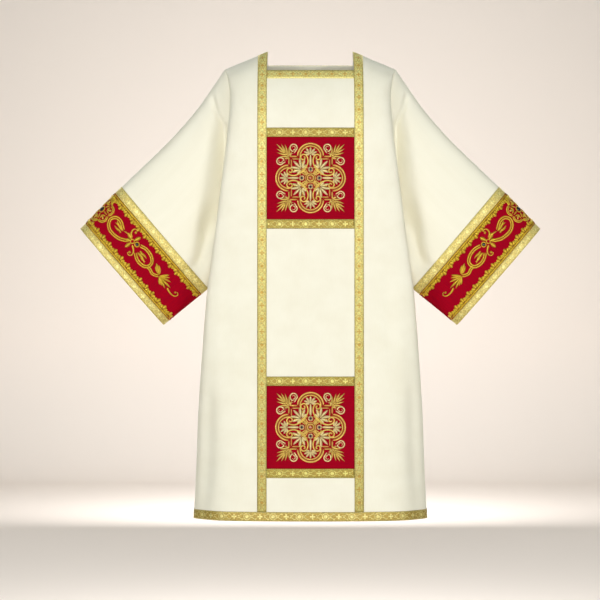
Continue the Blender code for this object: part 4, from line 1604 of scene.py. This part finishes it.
def make_paper(material):
    """A floor that sweeps up into a wall."""
    bm = bmesh.new()
    turns = [(PAPER_FRONT, PAPER_FLOOR)]
    for angle in np.linspace(0, math.pi / 2, 25):
        y = PAPER_WALL - PAPER_SWEEP * (1 - math.sin(angle))
        turns.append((y, PAPER_FLOOR + PAPER_SWEEP * (1 - math.cos(angle))))
    turns.append((PAPER_WALL, PAPER_TOP))
    bmesh.ops.create_grid(bm, x_segments=2, y_segments=len(turns) - 1, size=0.5)
    for vert in bm.verts:
        y, z = turns[round((vert.co.y + 0.5) * (len(turns) - 1))]
        vert.co = (vert.co.x * PAPER_WIDTH, y, z)
    bmesh.ops.recalc_face_normals(bm, faces=bm.faces)
    new_object("background_paper", bm, [material])


# A soft light: where it stands, where it points, its size in metres, and its share of the main light's power
SoftLight = namedtuple("SoftLight", "name place aim size share")
SOFT_LIGHTS = [
    SoftLight("front_light", (0, -8.5, 0.0), (0, 0, -0.6), 2.2, 1.0),
    SoftLight("left_light", (-4.8, -6.2, 0.0), (0, 0, -0.6), 1.6, 0.63),
    SoftLight("right_light", (4.8, -6.2, 0.0), (0, 0, -0.6), 1.6, 0.63),
    SoftLight("top_light", (0, -2.5, 4.5), (0, 0, 0), 2.5, 0.12),
    SoftLight("back_left_light", (-3.5, 6.0, 3.6), (0, 0, -0.6), 2.5, 0.5),
    SoftLight("back_right_light", (3.5, 6.0, 3.6), (0, 0, -0.6), 2.5, 0.5),
    SoftLight("paper_light", (0, 5.8, -0.3), (0, 9.5, -0.7), 1.5, 0.34),
    SoftLight("floor_light", (0, 1.0, -0.5), (0, 3.2, -1.8), 1.2, 0.24),
]
WORLD_LIGHT = 0.18
WORLD_COLOR = (0.84, 1.0, 0.95)


def make_lights(power):
    for light in SOFT_LIGHTS:
        data = bpy.data.lights.new(light.name, "AREA")
        data.shape = "SQUARE"
        data.size = light.size
        data.energy = power * light.share
        lamp = bpy.data.objects.new(light.name, data)
        lamp.location = light.place
        lamp.visible_camera = False
        lamp.rotation_euler = (Vector(light.aim) - Vector(light.place)).to_track_quat("-Z", "Y").to_euler()
        bpy.context.scene.collection.objects.link(lamp)
    world = bpy.data.worlds.new("studio")
    world.use_nodes = True
    world.node_tree.nodes["Background"].inputs["Color"].default_value = (*WORLD_COLOR, 1)
    world.node_tree.nodes["Background"].inputs["Strength"].default_value = WORLD_LIGHT
    bpy.context.scene.world = world


def make_camera(settings):
    data = bpy.data.cameras.new("camera")
    data.lens = settings.lens
    data.sensor_width = SENSOR_WIDTH
    data.clip_end = CLIP_END
    camera = bpy.data.objects.new("camera", data)
    camera.location = (CAMERA_X, -settings.distance, CAMERA_Z)
    camera.rotation_euler = (math.pi / 2, 0, 0)
    bpy.context.scene.collection.objects.link(camera)
    bpy.context.scene.camera = camera
    bpy.context.scene.view_settings.view_transform = "Standard"


OPERATORS = [
    DALMATIC_OT_materials,
    DALMATIC_OT_cloth,
    DALMATIC_OT_galloons,
    DALMATIC_OT_red_panels,
    DALMATIC_OT_medallions,
    DALMATIC_OT_cuff_embroidery,
    DALMATIC_OT_sewing,
    DALMATIC_OT_cloth_sheets,
    DALMATIC_OT_stage,
]


class DALMATIC_PT_panel(bpy.types.Panel):
    """Lists the dalmatic's pieces in the order in which they are made"""

    bl_idname = "DALMATIC_PT_panel"
    bl_label = "Dalmatic"
    bl_space_type = "VIEW_3D"
    bl_region_type = "UI"
    bl_category = "Dalmatic"

    def draw(self, context):
        for name in GROUPS:
            settings = getattr(context.scene, name)
            box = self.layout.box()
            for key in settings.bl_rna.properties.keys():
                if key not in ("rna_type", "name"):
                    box.prop(settings, key)
        for operator in OPERATORS:
            self.layout.operator(operator.bl_idname)


GROUPS = {"dalmatic_cloth": DalmaticCloth, "dalmatic_gold": DalmaticGold, "dalmatic_stage": DalmaticStage}
CLASSES = [*GROUPS.values(), *OPERATORS, DALMATIC_PT_panel]


def register():
    for cls in CLASSES:
        bpy.utils.register_class(cls)
    for name, group in GROUPS.items():
        setattr(bpy.types.Scene, name, PointerProperty(type=group))


def unregister():
    for name in GROUPS:
        delattr(bpy.types.Scene, name)
    for cls in reversed(CLASSES):
        bpy.utils.unregister_class(cls)


def main():
    register()
    for operator in OPERATORS:
        getattr(bpy.ops.dalmatic, operator.bl_idname.split(".")[1])()


if __name__ == "__main__":
    main()
